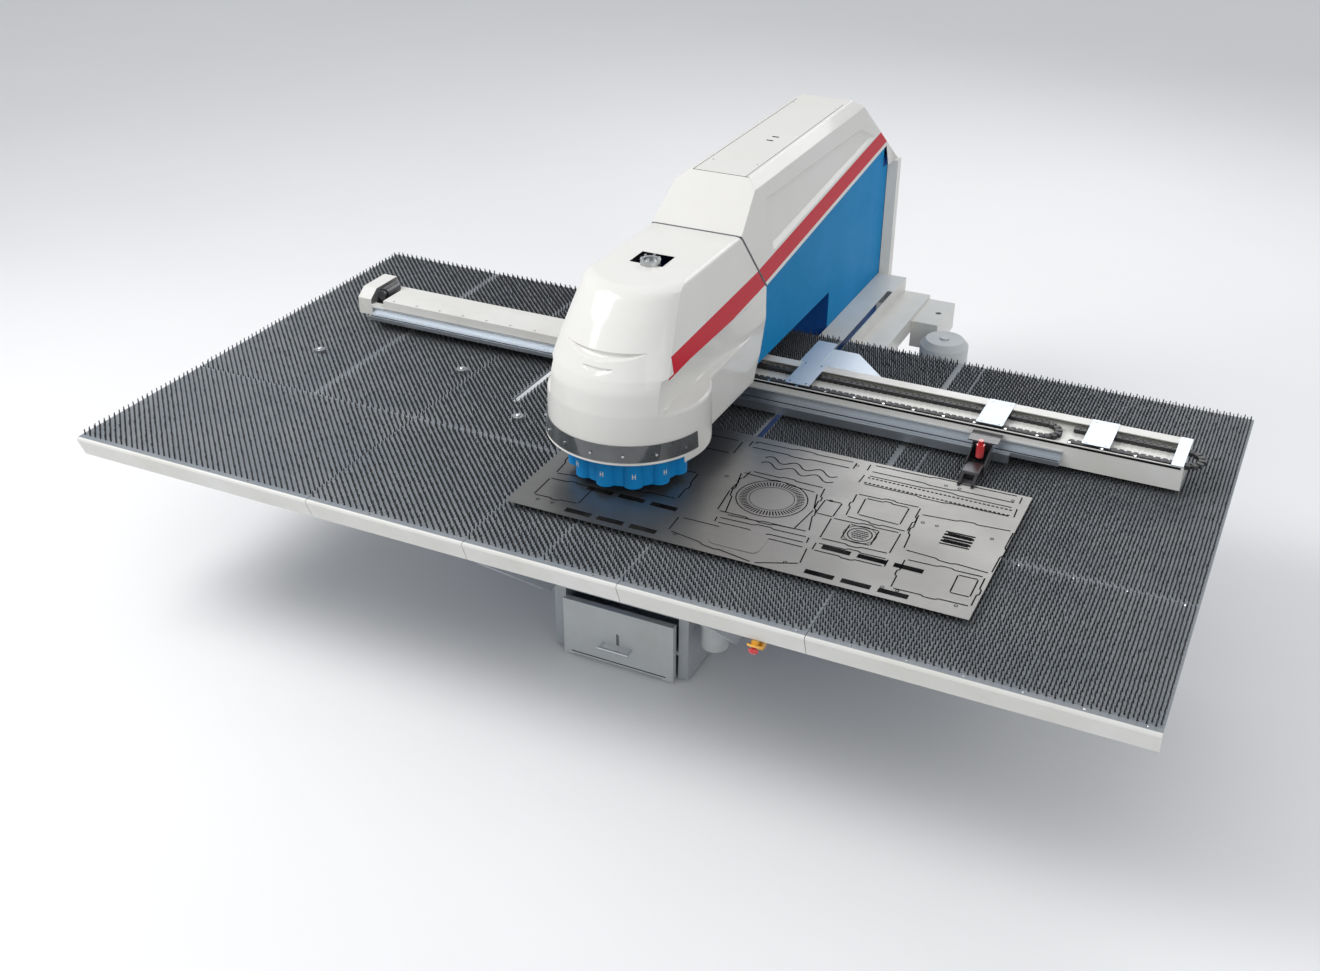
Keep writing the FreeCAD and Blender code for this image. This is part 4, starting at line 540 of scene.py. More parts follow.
def keep_side(mesh, point, normal, fill=False, faces=None):
    """Cut everything on the normal's side of a plane away."""
    cut = slice_at(mesh, point, normal, faces, clear_outer=True)
    if fill:
        rim = [item for item in cut["geom_cut"] if isinstance(item, bmesh.types.BMEdge)]
        bmesh.ops.contextual_create(mesh, geom=rim)


def plane_normal(first, second):
    """Normal of the plane that runs across the machine through two points, each (back, up)."""
    return Vector((0, first[1] - second[1], second[0] - first[0])).normalized()


def face_outwards(mesh, inside):
    """Turn the faces of an open skin away from a point inside it."""
    bmesh.ops.recalc_face_normals(mesh, faces=mesh.faces)
    outward = sum(face.normal.dot(face.calc_center_median() - inside) * face.calc_area() for face in mesh.faces)
    if outward < 0:
        bmesh.ops.reverse_faces(mesh, faces=mesh.faces)


# ------------------------------------------------------------------ front hood
HOOD_LOW = 0.200
HOOD_TOP = 0.905
HOOD_HALF = 0.273       # half width of the side walls at their foot
SIDE_FOOT = 0.580
RINGS_END = 1.780       # how far back the hood's rings run before the seams trim them
DRUM_RADIUS = 0.355
TURRET_BACK = 0.830     # the turret's axis, counted back from the table's front edge
NOSE_LEVELS = [HOOD_LOW, 0.445, 0.540, 0.590, 0.691, 0.792, 0.883, HOOD_TOP]
NOSE_RADIUS = [DRUM_RADIUS, 0.351, 0.345, 0.333, 0.303, 0.275, 0.255, 0.237]
NOSE_CENTRE = [TURRET_BACK, TURRET_BACK, 0.834, 0.842, 0.870, 0.915, 0.970, 0.995]
WINDOW = ((-0.094, 1.016), (0.062, 1.147))      # front left and back right corner of the opening in the lid
CRESCENT = {"half": 0.185, "top": 0.692, "drop": 0.034, "deep": 0.016}
NOTCH = {"half": 0.062, "top": 0.634, "drop": 0.026, "deep": 0.009, "least": 0.006, "across": 0.004}
MOUTH_UP = 0.240
MOUTH_BACK = 0.690
SIDE_LEAN = 0.1617
SKIRT_HALF = 0.290
WAIST_HALF = 0.250
SEAM_TOP = (1.490, 0.905)
SEAM_APEX = (1.697, 0.608)
SEAM_UNDER = (1.602, 0.328)
SEAM_FOOT = (1.520, 0.190)
SEAL_HALF = 0.0060


def hood_half(up):
    """Half width of the hood's side wall above its drum."""
    full = HOOD_HALF - SIDE_LEAN * (up - SIDE_FOOT)
    step = min(1.0, max(0.0, (up - 0.584) / 0.010))
    return WAIST_HALF + (full - WAIST_HALF) * step


def waist_fade(back):
    """0 over the drum, 1 at the back, where the recess over the skirt has run out."""
    share = min(1.0, max(0.0, (back - 1.06) / 0.48))
    return share * share * (3 - 2 * share)


def drum_share(up):
    """1 where the drum's round side shows, 0 above its ledge."""
    return float(np.interp(up, [0.430, 0.438, 0.443, 0.446, 0.449, 0.460],
                           [1.0, 0.97, 0.90, 0.12, 0.04, 0.0]))


def hood_ring(mesh, up, inset=0.0):
    """One level of the hood: its nose arc and sides as vertices from the back left to the back right."""
    radius = float(np.interp(up, NOSE_LEVELS, NOSE_RADIUS)) - inset
    centre = float(np.interp(up, NOSE_LEVELS, NOSE_CENTRE))
    half = hood_half(up) - inset
    share = drum_share(up)
    corner = centre - math.sqrt(radius ** 2 - half ** 2)
    turn = centre + math.sqrt(DRUM_RADIUS ** 2 - SKIRT_HALF ** 2)
    side = [corner + (turn - corner) * step / 30 for step in range(31)]
    side += [turn + (RINGS_END - turn) * step / 12 for step in range(1, 13)]
    right = []
    for back in side:
        drum = math.sqrt(max(0.0, radius ** 2 - (back - centre) ** 2)) if back < turn else SKIRT_HALF - inset
        full = min(SKIRT_HALF, HOOD_HALF - SIDE_LEAN * (up - SIDE_FOOT)) - inset
        wall = half + max(0.0, full - half) * waist_fade(back)
        right.append((max(wall, wall + (drum - wall) * share), back))
    across_arc = [half * step / 24 for step in range(-23, 24)]
    arc = [(across, centre - math.sqrt(radius ** 2 - across ** 2)) for across in across_arc]
    row = [(-across, back) for across, back in reversed(right)] + arc + right
    return [mesh.verts.new(on_machine(across, back, up)) for across, back in row]


def hood_skin(levels):
    """Rings joined level by level into one open skin."""
    mesh = bmesh.new()
    rings = [hood_ring(mesh, up, inset) for up, inset in levels]
    edges = [[mesh.edges.new(pair) for pair in zip(ring, ring[1:])] for ring in rings]
    for lower, upper in zip(edges, edges[1:]):
        bmesh.ops.bridge_loops(mesh, edges=lower + upper)
    return mesh, rings


def spaced(start, end, step):
    count = max(1, round((end - start) / step))
    return [start + (end - start) * number / count for number in range(count)]


def trim_to_seams(mesh):
    """Cut the hood's back along the three seam lines."""
    for first, second in ((SEAM_TOP, SEAM_APEX), (SEAM_APEX, SEAM_UNDER), (SEAM_UNDER, SEAM_FOOT)):
        keep_side(mesh, on_machine(0, *first), plane_normal(first, second))


def crescent_depth(across, up):
    """How deep the crescent is pressed in at a point of the nose."""
    low = CRESCENT["top"] - CRESCENT["drop"] * (1 - (across / CRESCENT["half"]) ** 2)
    if not low < up < CRESCENT["top"]:
        return 0.0
    tall = CRESCENT["top"] - low
    return CRESCENT["deep"] * math.sin(math.pi * (up - low) / tall) ** 0.7 * min(1.0, tall / 0.02)


def notch_depth(across, up):
    """How deep the small notch below the crescent is pressed in."""
    off = abs(across - NOTCH["across"])
    tall = NOTCH["least"] + NOTCH["drop"] * (1 - min(1.0, off / NOTCH["half"]))
    if off >= NOTCH["half"] or not NOTCH["top"] - tall < up < NOTCH["top"]:
        return 0.0
    return NOTCH["deep"] * math.sin(math.pi * (NOTCH["top"] - up) / tall)


def press_features(mesh):
    """Push the crescent and the small notch into the nose."""
    for vertex in mesh.verts:
        across, back, up = vertex.co.x, vertex.co.y + MIDDLE, vertex.co.z - TABLE_TOP
        depth = max(crescent_depth(across, up), notch_depth(across, up)) if back <= 0.76 else 0.0
        if depth:
            vertex.co -= Vector((across, back - 0.85, 0)).normalized() * depth


def open_mouth(mesh):
    """Raise the drum's lower edge in front of the turret's middle."""
    slice_at(mesh, on_machine(0, 0, MOUTH_UP), (0, 0, 1))
    slice_at(mesh, on_machine(0, MOUTH_BACK, 0), (0, 1, 0))
    low = [face for face in mesh.faces if face.calc_center_median().z < TABLE_TOP + MOUTH_UP
           and face.calc_center_median().y + MIDDLE < MOUTH_BACK]
    bmesh.ops.delete(mesh, geom=low, context="FACES")


def open_window(mesh, lid):
    """Cut the square opening out of the hood's lid."""
    (left, front), (right, back) = WINDOW
    top = [lid]
    for point, normal in (((left, 0), (1, 0, 0)), ((right, 0), (1, 0, 0)), ((0, front), (0, 1, 0)),
                          ((0, back), (0, 1, 0))):
        slice_at(mesh, on_machine(*point, 0), normal, top)
        top = [face for face in mesh.faces
               if all(abs(vertex.co.z - TABLE_TOP - HOOD_TOP) < 1e-4 for vertex in face.verts)]
    opening = [face for face in top if left < face.calc_center_median().x < right
               and front < face.calc_center_median().y + MIDDLE < back]
    bmesh.ops.delete(mesh, geom=opening, context="FACES")


def build_front_hood():
    hood = bpy.context.scene.punch_hood
    upright = spaced(HOOD_LOW, 0.425, 0.025) + [0.425, 0.430, 0.438, 0.443, 0.446, 0.449, 0.460]
    upright += spaced(0.472, SIDE_FOOT, 0.018) + [SIDE_FOOT, 0.584, 0.589, 0.594]
    upright += spaced(0.600, 0.700, 0.0035) + spaced(0.700, 0.885, 0.015)
    levels = [(up, 0.0) for up in upright]
    levels += [(0.885, 0.0), (0.893, 0.0015), (0.899, 0.005), (0.903, 0.011), (HOOD_TOP, 0.019)]
    mesh, rings = hood_skin(levels)
    lid = mesh.faces.new(rings[-1])
    press_features(mesh)
    open_window(mesh, lid)
    trim_to_seams(mesh)
    open_mouth(mesh)
    bmesh.ops.remove_doubles(mesh, verts=mesh.verts, dist=WELD)
    face_outwards(mesh, on_machine(0, 1.1, 0.5))
    made = piece("front_hood", mesh, "machine", "hood_front", "cover_white", "head_cover")
    soften(made, 0.010, 3, 24.0)
    thicken(made, "Wall", hood.wall)
    even_shading(made)


def build_seal():
    """Rubber strip in the seam between the hoods, a slice of a slightly larger hood."""
    levels = [(up, -0.001) for up in spaced(0.609, 0.885, 0.02) + [0.885]]
    levels += [(0.893, 0.0005), (0.899, 0.004), (0.9035, 0.010), (0.9055, 0.018)]
    seal, rings = hood_skin(levels)
    seal.faces.new(rings[-1])
    outward = plane_normal(SEAM_TOP, SEAM_APEX)
    for side in (1, -1):
        keep_side(seal, on_machine(0, *SEAM_TOP) + outward * side * SEAL_HALF, outward * side)
    bmesh.ops.recalc_face_normals(seal, faces=seal.faces)
    thicken(piece("hood_seal", seal, "machine", "rubber", "cover_white"), "Rubber", 0.006)


# ------------------------------------------------------------------ rear hood
REAR_TOP = 1.090
REAR_START = 1.400
REAR_LONG = 2.260
TAIL_BACK = 3.500       # behind this line the hood reaches lower, over the frame's end
TAIL_LOW = 0.6603
RECESS_PULL = 0.024     # how deep the side panels are pressed in at their front


def build_rear_hood():
    """One long leaning prism trimmed by planes, with a recess in each side."""
    hood = bpy.context.scene.punch_hood
    mesh = bmesh.new()
    right = ((0.145, REAR_TOP), (0.197, 1.050), (HOOD_HALF, SIDE_FOOT))
    corners = [(-across, up) for across, up in reversed(right)] + list(right)
    start = [mesh.verts.new(on_machine(across, REAR_START, up)) for across, up in corners]
    spine = [mesh.edges.new(pair) for pair in zip(start, start[1:])]
    run = bmesh.ops.extrude_edge_only(mesh, edges=spine)
    moved = [item for item in run["geom"] if isinstance(item, bmesh.types.BMVert)]
    bmesh.ops.translate(mesh, verts=moved, vec=(0, REAR_LONG, 0))
    slope = Vector((0, -0.185, 0.249)).normalized()
    keep_side(mesh, on_machine(0, 1.745, REAR_TOP), slope, fill=True)
    tail = Vector((0, 0.426, 0.510)).normalized()
    keep_side(mesh, on_machine(0, 3.150, REAR_TOP), tail, fill=True)
    keep_side(mesh, on_machine(0, SEAM_TOP[0] + 0.006, SEAM_TOP[1]), -plane_normal(SEAM_TOP, SEAM_APEX))
    slice_at(mesh, on_machine(0, TAIL_BACK, 0), (0, 1, 0), dist=0.0)
    low = Vector((0, 0.160, -1.797)).normalized()
    foot = on_machine(0, 1.703, 0.608)
    slice_at(mesh, foot, low, dist=0.0)
    below = [face for face in mesh.faces if face.calc_center_median().y + MIDDLE < TAIL_BACK
             and (face.calc_center_median() - foot).dot(low) > 0]
    bmesh.ops.delete(mesh, geom=below, context="FACES")
    tail_end = [face for face in mesh.faces if face.calc_center_median().y + MIDDLE > TAIL_BACK]
    keep_side(mesh, on_machine(0, 0, TAIL_LOW), (0, 0, -1), faces=tail_end)
    bmesh.ops.remove_doubles(mesh, verts=mesh.verts, dist=WELD)
    press_recess(mesh)
    face_outwards(mesh, on_machine(0, 2.5, 0.7))
    made = piece("rear_hood", mesh, "machine", "hood_rear", "cover_white", "rear_cover")
    soften(made, hood.soft_edge, 4, 10.0)
    thicken(made, "Wall", hood.wall)
    even_shading(made)


def press_recess(mesh):
    """A shallow panel in each side, deep at its front end and running out towards the back."""
    lines = (((1.800, 1.000), (1.830, 0.700)), ((1.800, 0.985), (3.120, 0.955)),
             ((3.120, 0.955), (3.380, 0.840)), ((1.80, 0.730), (3.50, 0.878)))
    for side in (-1, 1):
        walls = [face for face in mesh.faces if face.normal.x * side > 0.5 or
                 (abs(face.normal.x) > 0.9 and face.calc_center_median().x * side > 0)]
        walls = [face for face in walls if face.calc_center_median().x * side > 0.15]
        for first, second in lines:
            slice_at(mesh, on_machine(0, *first), plane_normal(first, second), walls)
            walls = [face for face in mesh.faces
                     if abs(face.normal.x) > 0.5 and face.calc_center_median().x * side > 0.15]
        chosen = []
        for face in walls:
            centre = face.calc_center_median()
            back, up = centre.y + MIDDLE, centre.z - TABLE_TOP
            inside = back > 1.83 - 0.1 * (up - 0.7) and up > 0.730 + 0.087 * (back - 1.80)
            inside = inside and up < 0.985 - 0.0227 * (back - 1.80) and up < 0.955 - 0.4423 * (back - 3.12)
            if inside:
                chosen.append(face)
        if not chosen:
            raise RuntimeError("the side recess found no wall to press in")
        bmesh.ops.inset_region(mesh, faces=chosen, thickness=0.018, depth=0.0, use_boundary=True,
                               use_even_offset=True)
        inner = {vertex for face in chosen for vertex in face.verts}
        for vertex in inner:
            fade = 1.0 - 0.55 * max(0.0, (vertex.co.y + MIDDLE - 1.9) / 1.5)
            vertex.co.x -= side * RECESS_PULL * min(1.0, fade)


def build_hood_details():
    """Hatch outline, slots and screws, laid on the rear hood."""
    mesh = bmesh.new()
    top = REAR_TOP + 0.0003
    # The hatch outline and its two slots are thin near-black strips: painted shade in the seam and the slots.
    lines = [((-0.130, 1.742), (-0.130, 3.05)), ((0.128, 1.742), (0.128, 3.05))]
    for (x0, y0), (x1, y1) in lines:
        machine_box(mesh, (x0 - 0.0012, x1 + 0.0012), (y0, y1), (top - 0.0010, top))
    machine_box(mesh, (-0.130, 0.145), (1.744, 1.7465), (top - 0.001, top))
    for across, back in ((0.030, 2.369), (0.026, 2.303)):
        machine_box(mesh, (across - 0.024, across + 0.010), (back - 0.006, back + 0.006),
                    (top - 0.001, top + 0.0003))
    piece("hatch_lines", mesh, "machine", "cut", "cover_white", smooth=False)
    screws = bmesh.new()
    for across, back in ((0.112, 2.433), (0.112, 1.925), (-0.104, 1.914), (-0.116, 2.980), (0.116, 2.975),
                         (-0.110, 2.45)):
        disc(screws, on_machine(across, back, REAR_TOP - 0.0002), 0.0065, 0.0026, segments=14, tip=0.0042)
    piece("hatch_screws", screws, "machine", "bright", "bright")


# ------------------------------------------------------------------ brush table
WELL = (0.0, TURRET_BACK, 0.262)


def tuft_field(name, across, back, node_name, random_state, holes=()):
    """Two interleaved arrays of leaning bristle bundles over one field of the table."""
    table = bpy.context.scene.punch_table
    seed = bmesh.new()
    counts = [max(1, round((span[1] - span[0]) / table.pitch)) for span in (across, back)]
    steps = [(span[1] - span[0]) / count for span, count in zip((across, back), counts)]
    for share in (0.25, 0.75):
        place = on_machine(across[0] + steps[0] * share, back[0] + steps[1] * share, 0.0)
        disc(seed, place, table.tuft_foot, table.tuft_tall, segments=6, tip=table.tuft_tip)
    feet = [face for face in seed.faces if all(vertex.co.z < TABLE_TOP + 0.001 for vertex in face.verts)]
    bmesh.ops.delete(seed, geom=feet, context="FACES_ONLY")
    made = linked(name, mesh_data(name, seed))
    for axis, (count, step) in enumerate(zip(counts, steps)):
        rows = made.modifiers.new("Rows", "ARRAY")
        rows.use_relative_offset = False
        rows.use_constant_offset = True
        rows.constant_offset_displace = [step if number == axis else 0.0 for number in range(3)]
        rows.count = count
    bpy.context.view_layer.update()
    filled = bpy.data.meshes.new_from_object(made.evaluated_get(bpy.context.evaluated_depsgraph_get()))
    made.modifiers.clear()
    made.data = filled
    places = np.empty(len(filled.vertices) * 3)
    filled.vertices.foreach_get("co", places)
    places = places.reshape(-1, 12, 3)
    middle = places.mean(axis=1)
    top = places[:, :, 2] > TABLE_TOP + 0.01
    lean = random_state.normal(0.0, 0.0016, (len(places), 1, 2))
    drop = random_state.uniform(0.0, 0.0018, (len(places), 1))
    places[:, :, :2] += lean * top[:, :, None]
    places[:, :, 2] -= drop * top
    gone = np.zeros(len(places), bool)
    for kind, *values in holes:
        if kind == "round":
            gone |= np.hypot(middle[:, 0] - values[0], middle[:, 1] + MIDDLE - values[1]) < values[2]
        else:
            gone |= (np.abs(middle[:, 0] - values[0]) < values[1]) & (middle[:, 1] + MIDDLE > values[2])
    filled.vertices.foreach_set("co", places.reshape(-1))
    mesh = bmesh.new()
    mesh.from_mesh(filled)
    mesh.verts.ensure_lookup_table()
    dead = [mesh.verts[index] for index in np.flatnonzero(np.repeat(gone, 12))]
    bmesh.ops.delete(mesh, geom=dead, context="VERTS")
    mesh.to_mesh(filled)
    mesh.free()
    filled.materials.clear()
    filled.materials.append(FINISHES["bristle"])
    filled.shade_smooth()
    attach(made, "machine")
    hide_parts(node_name)
    return made


FRONT_FIELDS = ((-2.414, -1.138), (-1.128, -0.357), (-0.347, -0.005), (0.005, 0.347), (0.357, 1.128),
                (1.138, 2.414))
REAR_FIELDS = ((-2.414, -1.726), (-1.698, -1.138), (-1.128, 0.998), (1.026, 1.128), (1.138, 2.414))
BALL_SPOTS = ((-1.989, 1.250), (-1.210, 1.369), (0.700, 1.150), (-0.700, 1.050))


def build_tufts():
    random_state = np.random.default_rng(7)
    well = ("round", *WELL)
    balls = [("round", *spot, 0.036) for spot in BALL_SPOTS]
    slots = [("slot", -0.810, 0.024, 1.19), ("slot", 0.385, 0.024, 1.19)]
    for number, across in enumerate(FRONT_FIELDS):
        tuft_field(f"front_tufts_{number + 1}", across, (0.034, 0.825), "front_brushes", random_state,
                   [well])
    for number, across in enumerate(REAR_FIELDS):
        tuft_field(f"rear_tufts_{number + 1}", across, (0.845, 2.557), "rear_brushes", random_state,
                   [well, *balls, *slots])


# ------------------------------------------------------------------ sheet
FAN = (1008, 507)
SMALL_FAN = (1438, 395)
SHEET_CORNER = (-0.340, 0.326)
SHEET_TOP = 0.033
SHEET_LINES = {
    "gusset": [(717, 201), (1281, 205), (1295, 88), (1126, 11), (723, 87)],
    "octagon": [(805, 664), (1165, 637), (1243, 326), (879, 303)],
    "cover_plate": [(1319, 705), (1598, 712), (1603, 502), (1336, 511)],
    "bracket": [(1607, 659), (1996, 694), (1993, 345), (1631, 367)],
    "long_tab": [(1295, 876), (1964, 881), (1968, 804), (1293, 799)],
    "fan_frame": [(838, 690), (1180, 690), (1200, 500), (1180, 320), (838, 320), (820, 500)],
    "fan_plate": [(1290, 470), (1585, 480), (1590, 310), (1300, 300)],
    "side_tab": [(60, 560), (250, 580), (260, 330), (80, 300)],
    "wide_tab": [(300, 560), (640, 570), (650, 330), (320, 320)],
    "foot_strip": [(860, 270), (1260, 285), (1265, 240), (865, 232)],
    "comb_left": [(80, 900), (700, 925), (705, 800), (90, 780)],
    "comb_right": [(1660, 300), (1980, 310), (1982, 90), (1670, 80)],
    "narrow_tab": [(1300, 260), (1600, 268), (1602, 210), (1302, 204)],
    "low_strip": [(80, 250), (290, 260), (292, 110), (84, 100)],
    "fan_plate_inner": [(1375, 455), (1500, 458), (1502, 335), (1378, 332)],
    "cover_plate_inner": [(1365, 685), (1555, 690), (1560, 540), (1375, 545)],
    "link": [(1215, 600), (1290, 600), (1290, 480), (1215, 480)],
    "corner_tab": [(1880, 280), (1960, 283), (1962, 150), (1884, 148)],
    "back_strip": [(740, 950), (1230, 962), (1232, 905), (742, 895)],
    "edge_strip": [(1290, 975), (1960, 985), (1962, 925), (1292, 917)],
}


def sheet_point(along, across):
    """A point on the sheet's upper face, given in millimetres from its front left corner."""
    return on_machine(SHEET_CORNER[0] + along / 1000, SHEET_CORNER[1] + across / 1000, SHEET_TOP)


def sheet_run(mesh, start, end, wide=0.0058):
    """One dark cut line lying flat on the sheet, its black the painted shade of the cut."""
    first, last = sheet_point(*start), sheet_point(*end)
    run = last - first
    turn = run.to_track_quat("X", "Z").to_matrix().to_4x4()
    size = Matrix.Diagonal((run.length, wide, 1.0, 1.0))
    lift = Vector((0, 0, 0.0006))
    bmesh.ops.create_grid(mesh, x_segments=1, y_segments=1, size=0.5,
                          matrix=Matrix.Translation((first + last) / 2 + lift) @ turn @ size)


def sheet_outline(mesh, corners, tab=0.035):
    """A closed cut line with small bridges left at its corners and a stepped notch in each long side."""
    for start, end in zip(corners, corners[1:] + corners[:1]):
        a, b = Vector((*start, 0)), Vector((*end, 0))
        run = (b - a).normalized()
        side = Vector((-run.y, run.x, 0))
        length = (b - a).length
        gap = length * tab
        if length < 190:
            sheet_run(mesh, (a + run * gap)[:2], (b - run * gap)[:2])
            continue
        stops = [a + run * gap, a + run * length * 0.40, a + run * length * 0.44 + side * 9,
                 a + run * length * 0.58 + side * 9,
                 a + run * length * 0.62, b - run * gap]
        for first, last in zip(stops, stops[1:]):
            sheet_run(mesh, first[:2], last[:2])


def round_point(centre, radius, turn):
    return centre[0] + radius * math.cos(turn), centre[1] + radius * math.sin(turn)


def sheet_ring(mesh, centre, radius, count=40, wide=0.0052, share=0.94):
    for number in range(count):
        start, end = (math.tau * (number + part) / count for part in (0.0, share))
        sheet_run(mesh, round_point(centre, radius, start), round_point(centre, radius, end), wide)


def build_sheet_lines():
    mesh = bmesh.new()
    # Every line, ring and slot here is a near-black strip lying on the uncut sheet: painted shade of its cuts.
    for corners in SHEET_LINES.values():
        sheet_outline(mesh, corners)
    sheet_ring(mesh, FAN, 152, 48)
    sheet_ring(mesh, FAN, 96, 48, 0.0030)
    for number in range(60):
        turn = math.tau * number / 60
        sheet_run(mesh, round_point(FAN, 106, turn), round_point(FAN, 139, turn), 0.0046)
    sheet_ring(mesh, SMALL_FAN, 50, 30)
    sheet_ring(mesh, SMALL_FAN, 68, 30, 0.0030)
    for row in (812, 858):
        for number in range(34):
            start = 1321 + 18.8 * number
            sheet_run(mesh, (start - 6, row), (start + 6, row), 0.0085)
    for number in range(4):
        for across in (70, 90):
            sheet_run(mesh, (1745, across + 408 + number * 26), (1868, across + 412 + number * 26), 0.0085)
    wave = [(848 + 346 * step / 24, 832 - step + 20 * math.sin(step * math.pi / 4)) for step in range(25)]
    for offset in (0, -52):
        for first, last in zip(wave, wave[1:]):
            sheet_run(mesh, (first[0], first[1] + offset), (last[0], last[1] + offset))
    for along in (120, 190, 760, 1240, 1640, 1700, 1930):
        for across in (70, 600, 940):
            sheet_ring(mesh, (along, across), 7, 8, 0.0030, 1.0)
    for along, across in ((325, 48), (325, 248), (1391, 46), (1391, 242)):
        for step in range(3):
            centre = along + 150 * step
            sheet_run(mesh, (centre - 60, across), (centre + 60, across), 0.030)
    piece("sheet_cut_lines", mesh, "x_carriage", "cut", "sheet_steel", smooth=False)

    boss = bmesh.new()
    cuboid(boss, sheet_point(899, 71), sheet_point(1117, 229) + Vector((0, 0, 0.0022)))
    corners = [edge for edge in boss.edges if abs(edge.verts[0].co.z - edge.verts[1].co.z) > 0.001]
    bmesh.ops.bevel(boss, geom=corners, offset=0.030, offset_type="OFFSET", segments=6, profile=0.5,
                    affect="EDGES", material=-1)
    raised = piece("sheet_boss", boss, "x_carriage", "sheet", "sheet_steel", smooth=False)
    soften(raised, 0.0012, 2, 40.0)


# ------------------------------------------------------------------ cable chains
def build_chains():
    """Links of both cable chains: a front run, a half turn and a back run on the tray."""
    mesh = bmesh.new()
    front, back, level = 1.706, 1.836, 0.1223
    radius = (back - front) / 2
    pitch = 0.030
    for near, far in ((-0.120, 1.592), (1.712, 2.208)):
        flat = far - near
        total = 2 * flat + math.pi * radius
        count = int(total / pitch)
        for number in range(count):
            along = total * (number + 0.5) / count
            if along < flat:
                across, depth, turn = near + along, front, 0.0
            elif along < flat + math.pi * radius:
                turn = (along - flat) / radius
                across, depth = far + radius * math.sin(turn), (front + back) / 2 - radius * math.cos(turn)
            else:
                across, depth, turn = far - (along - flat - math.pi * radius), back, math.pi
            place = Matrix.Translation(on_machine(across, depth, level + 0.010)) @ Matrix.Rotation(turn, 4,
                    "Z")
            for size in ((0.020, 0.0310, 0.0190), (0.030, 0.0250, 0.0120)):
                bmesh.ops.create_cube(mesh, size=1.0, matrix=place @ Matrix.Diagonal((*size, 1)))
    piece("chain_links", mesh, "y_carriage", "black", "black_plastic", "energy_chains", smooth=False)


# ------------------------------------------------------------------ small parts
LOBES = 12
LOBE_REACH = 0.270      # from the turret's axis to the ticks on its lobes
STOP_LEAN = math.radians(150)


def build_beam_details():
    """Bolts and shadow gaps along the cross beam."""
    bolts = bmesh.new()
    for number in range(28):
        across = -1.80 + 0.141 * number
        top = 0.1573 if -1.857 < across < -0.120 else 0.1538
        disc(bolts, on_machine(across, 1.660, top), 0.0060, 0.0026, segments=10)
    for across in (0.410, 0.490, 1.325, 1.405, 1.795, 1.875):
        for back in (1.695, 1.905):
            disc(bolts, on_machine(across, back, 0.1570), 0.0060, 0.0030, segments=10)
    piece("beam_bolts", bolts, "y_carriage", "bright", "bright", smooth=False)
    # Near-black strips and a block in the beam's gaps: painted shadow.
    dark = bmesh.new()
    machine_box(dark, (-1.90, 2.20), (1.6448, 1.6458), (0.140, 0.1505))
    machine_box(dark, (-1.905, 1.700), (1.5912, 1.5922), (0.0850, 0.0890))
    machine_box(dark, (-1.930, -1.862), (1.70, 1.78), (0.122, 0.146))
    piece("beam_shadows", dark, "y_carriage", "cut", "black_plastic", smooth=False)


def build_drawer_returns():
    """Folded flanges round the back of the drawer's front plate, up to just before its bay."""
    (left, front, low), (right, _, high) = (Vector(corner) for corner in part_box("drawer_front"))
    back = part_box("drawer_bay")[0][1] - 0.003
    start = front + 0.004
    mesh = bmesh.new()
    cuboid(mesh, (left + 0.002, start, high - 0.010), (right - 0.002, back, high - 0.004))
    cuboid(mesh, (right - 0.008, start, low + 0.002), (right - 0.002, back, high - 0.010))
    cuboid(mesh, (left + 0.002, start, low + 0.002), (left + 0.008, back, high - 0.010))
    made = piece("drawer_returns", mesh, "drawer", "light_grey", "grey_paint", smooth=False)
    soften(made, 0.0015, 2, 40.0)


def build_turret_marks():
    """Two white ticks and a bar on each lobe of the upper turret; slot and keyhole of the drawer's front."""
    ticks = bmesh.new()
    upright = (0.0035, 0.0016, 0.024)
    for number in range(LOBES):
        turn = Matrix.Rotation(math.tau * number / LOBES, 4, "Z")
        place = Matrix.Translation(on_machine(0, TURRET_BACK, 0.125)) @ turn
        for shift, size in ((-0.006, upright), (0.006, upright), (0, (0.010, 0.0015, 0.004))):
            matrix = place @ Matrix.Translation((shift, LOBE_REACH, 0)) @ Matrix.Diagonal((*size, 1))
            bmesh.ops.create_cube(ticks, size=1.0, matrix=matrix)
    piece("turret_ticks", ticks, "upper_turret", "white", "white_paint", smooth=False)
    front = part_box("drawer_front")[0][1]
    # The slot and keyhole are near-black boxes on the drawer's face: painted shade in its openings.
    slot = bmesh.new()
    cuboid(slot, (-0.225, front - 0.0006, TABLE_TOP - 0.926), (0.262, front + 0.001, TABLE_TOP - 0.921))
    cuboid(slot, (0.012, front - 0.0006, TABLE_TOP - 0.820), (0.018, front + 0.001, TABLE_TOP - 0.760))
    piece("drawer_slots", slot, "drawer", "cut", "grey_paint", smooth=False)


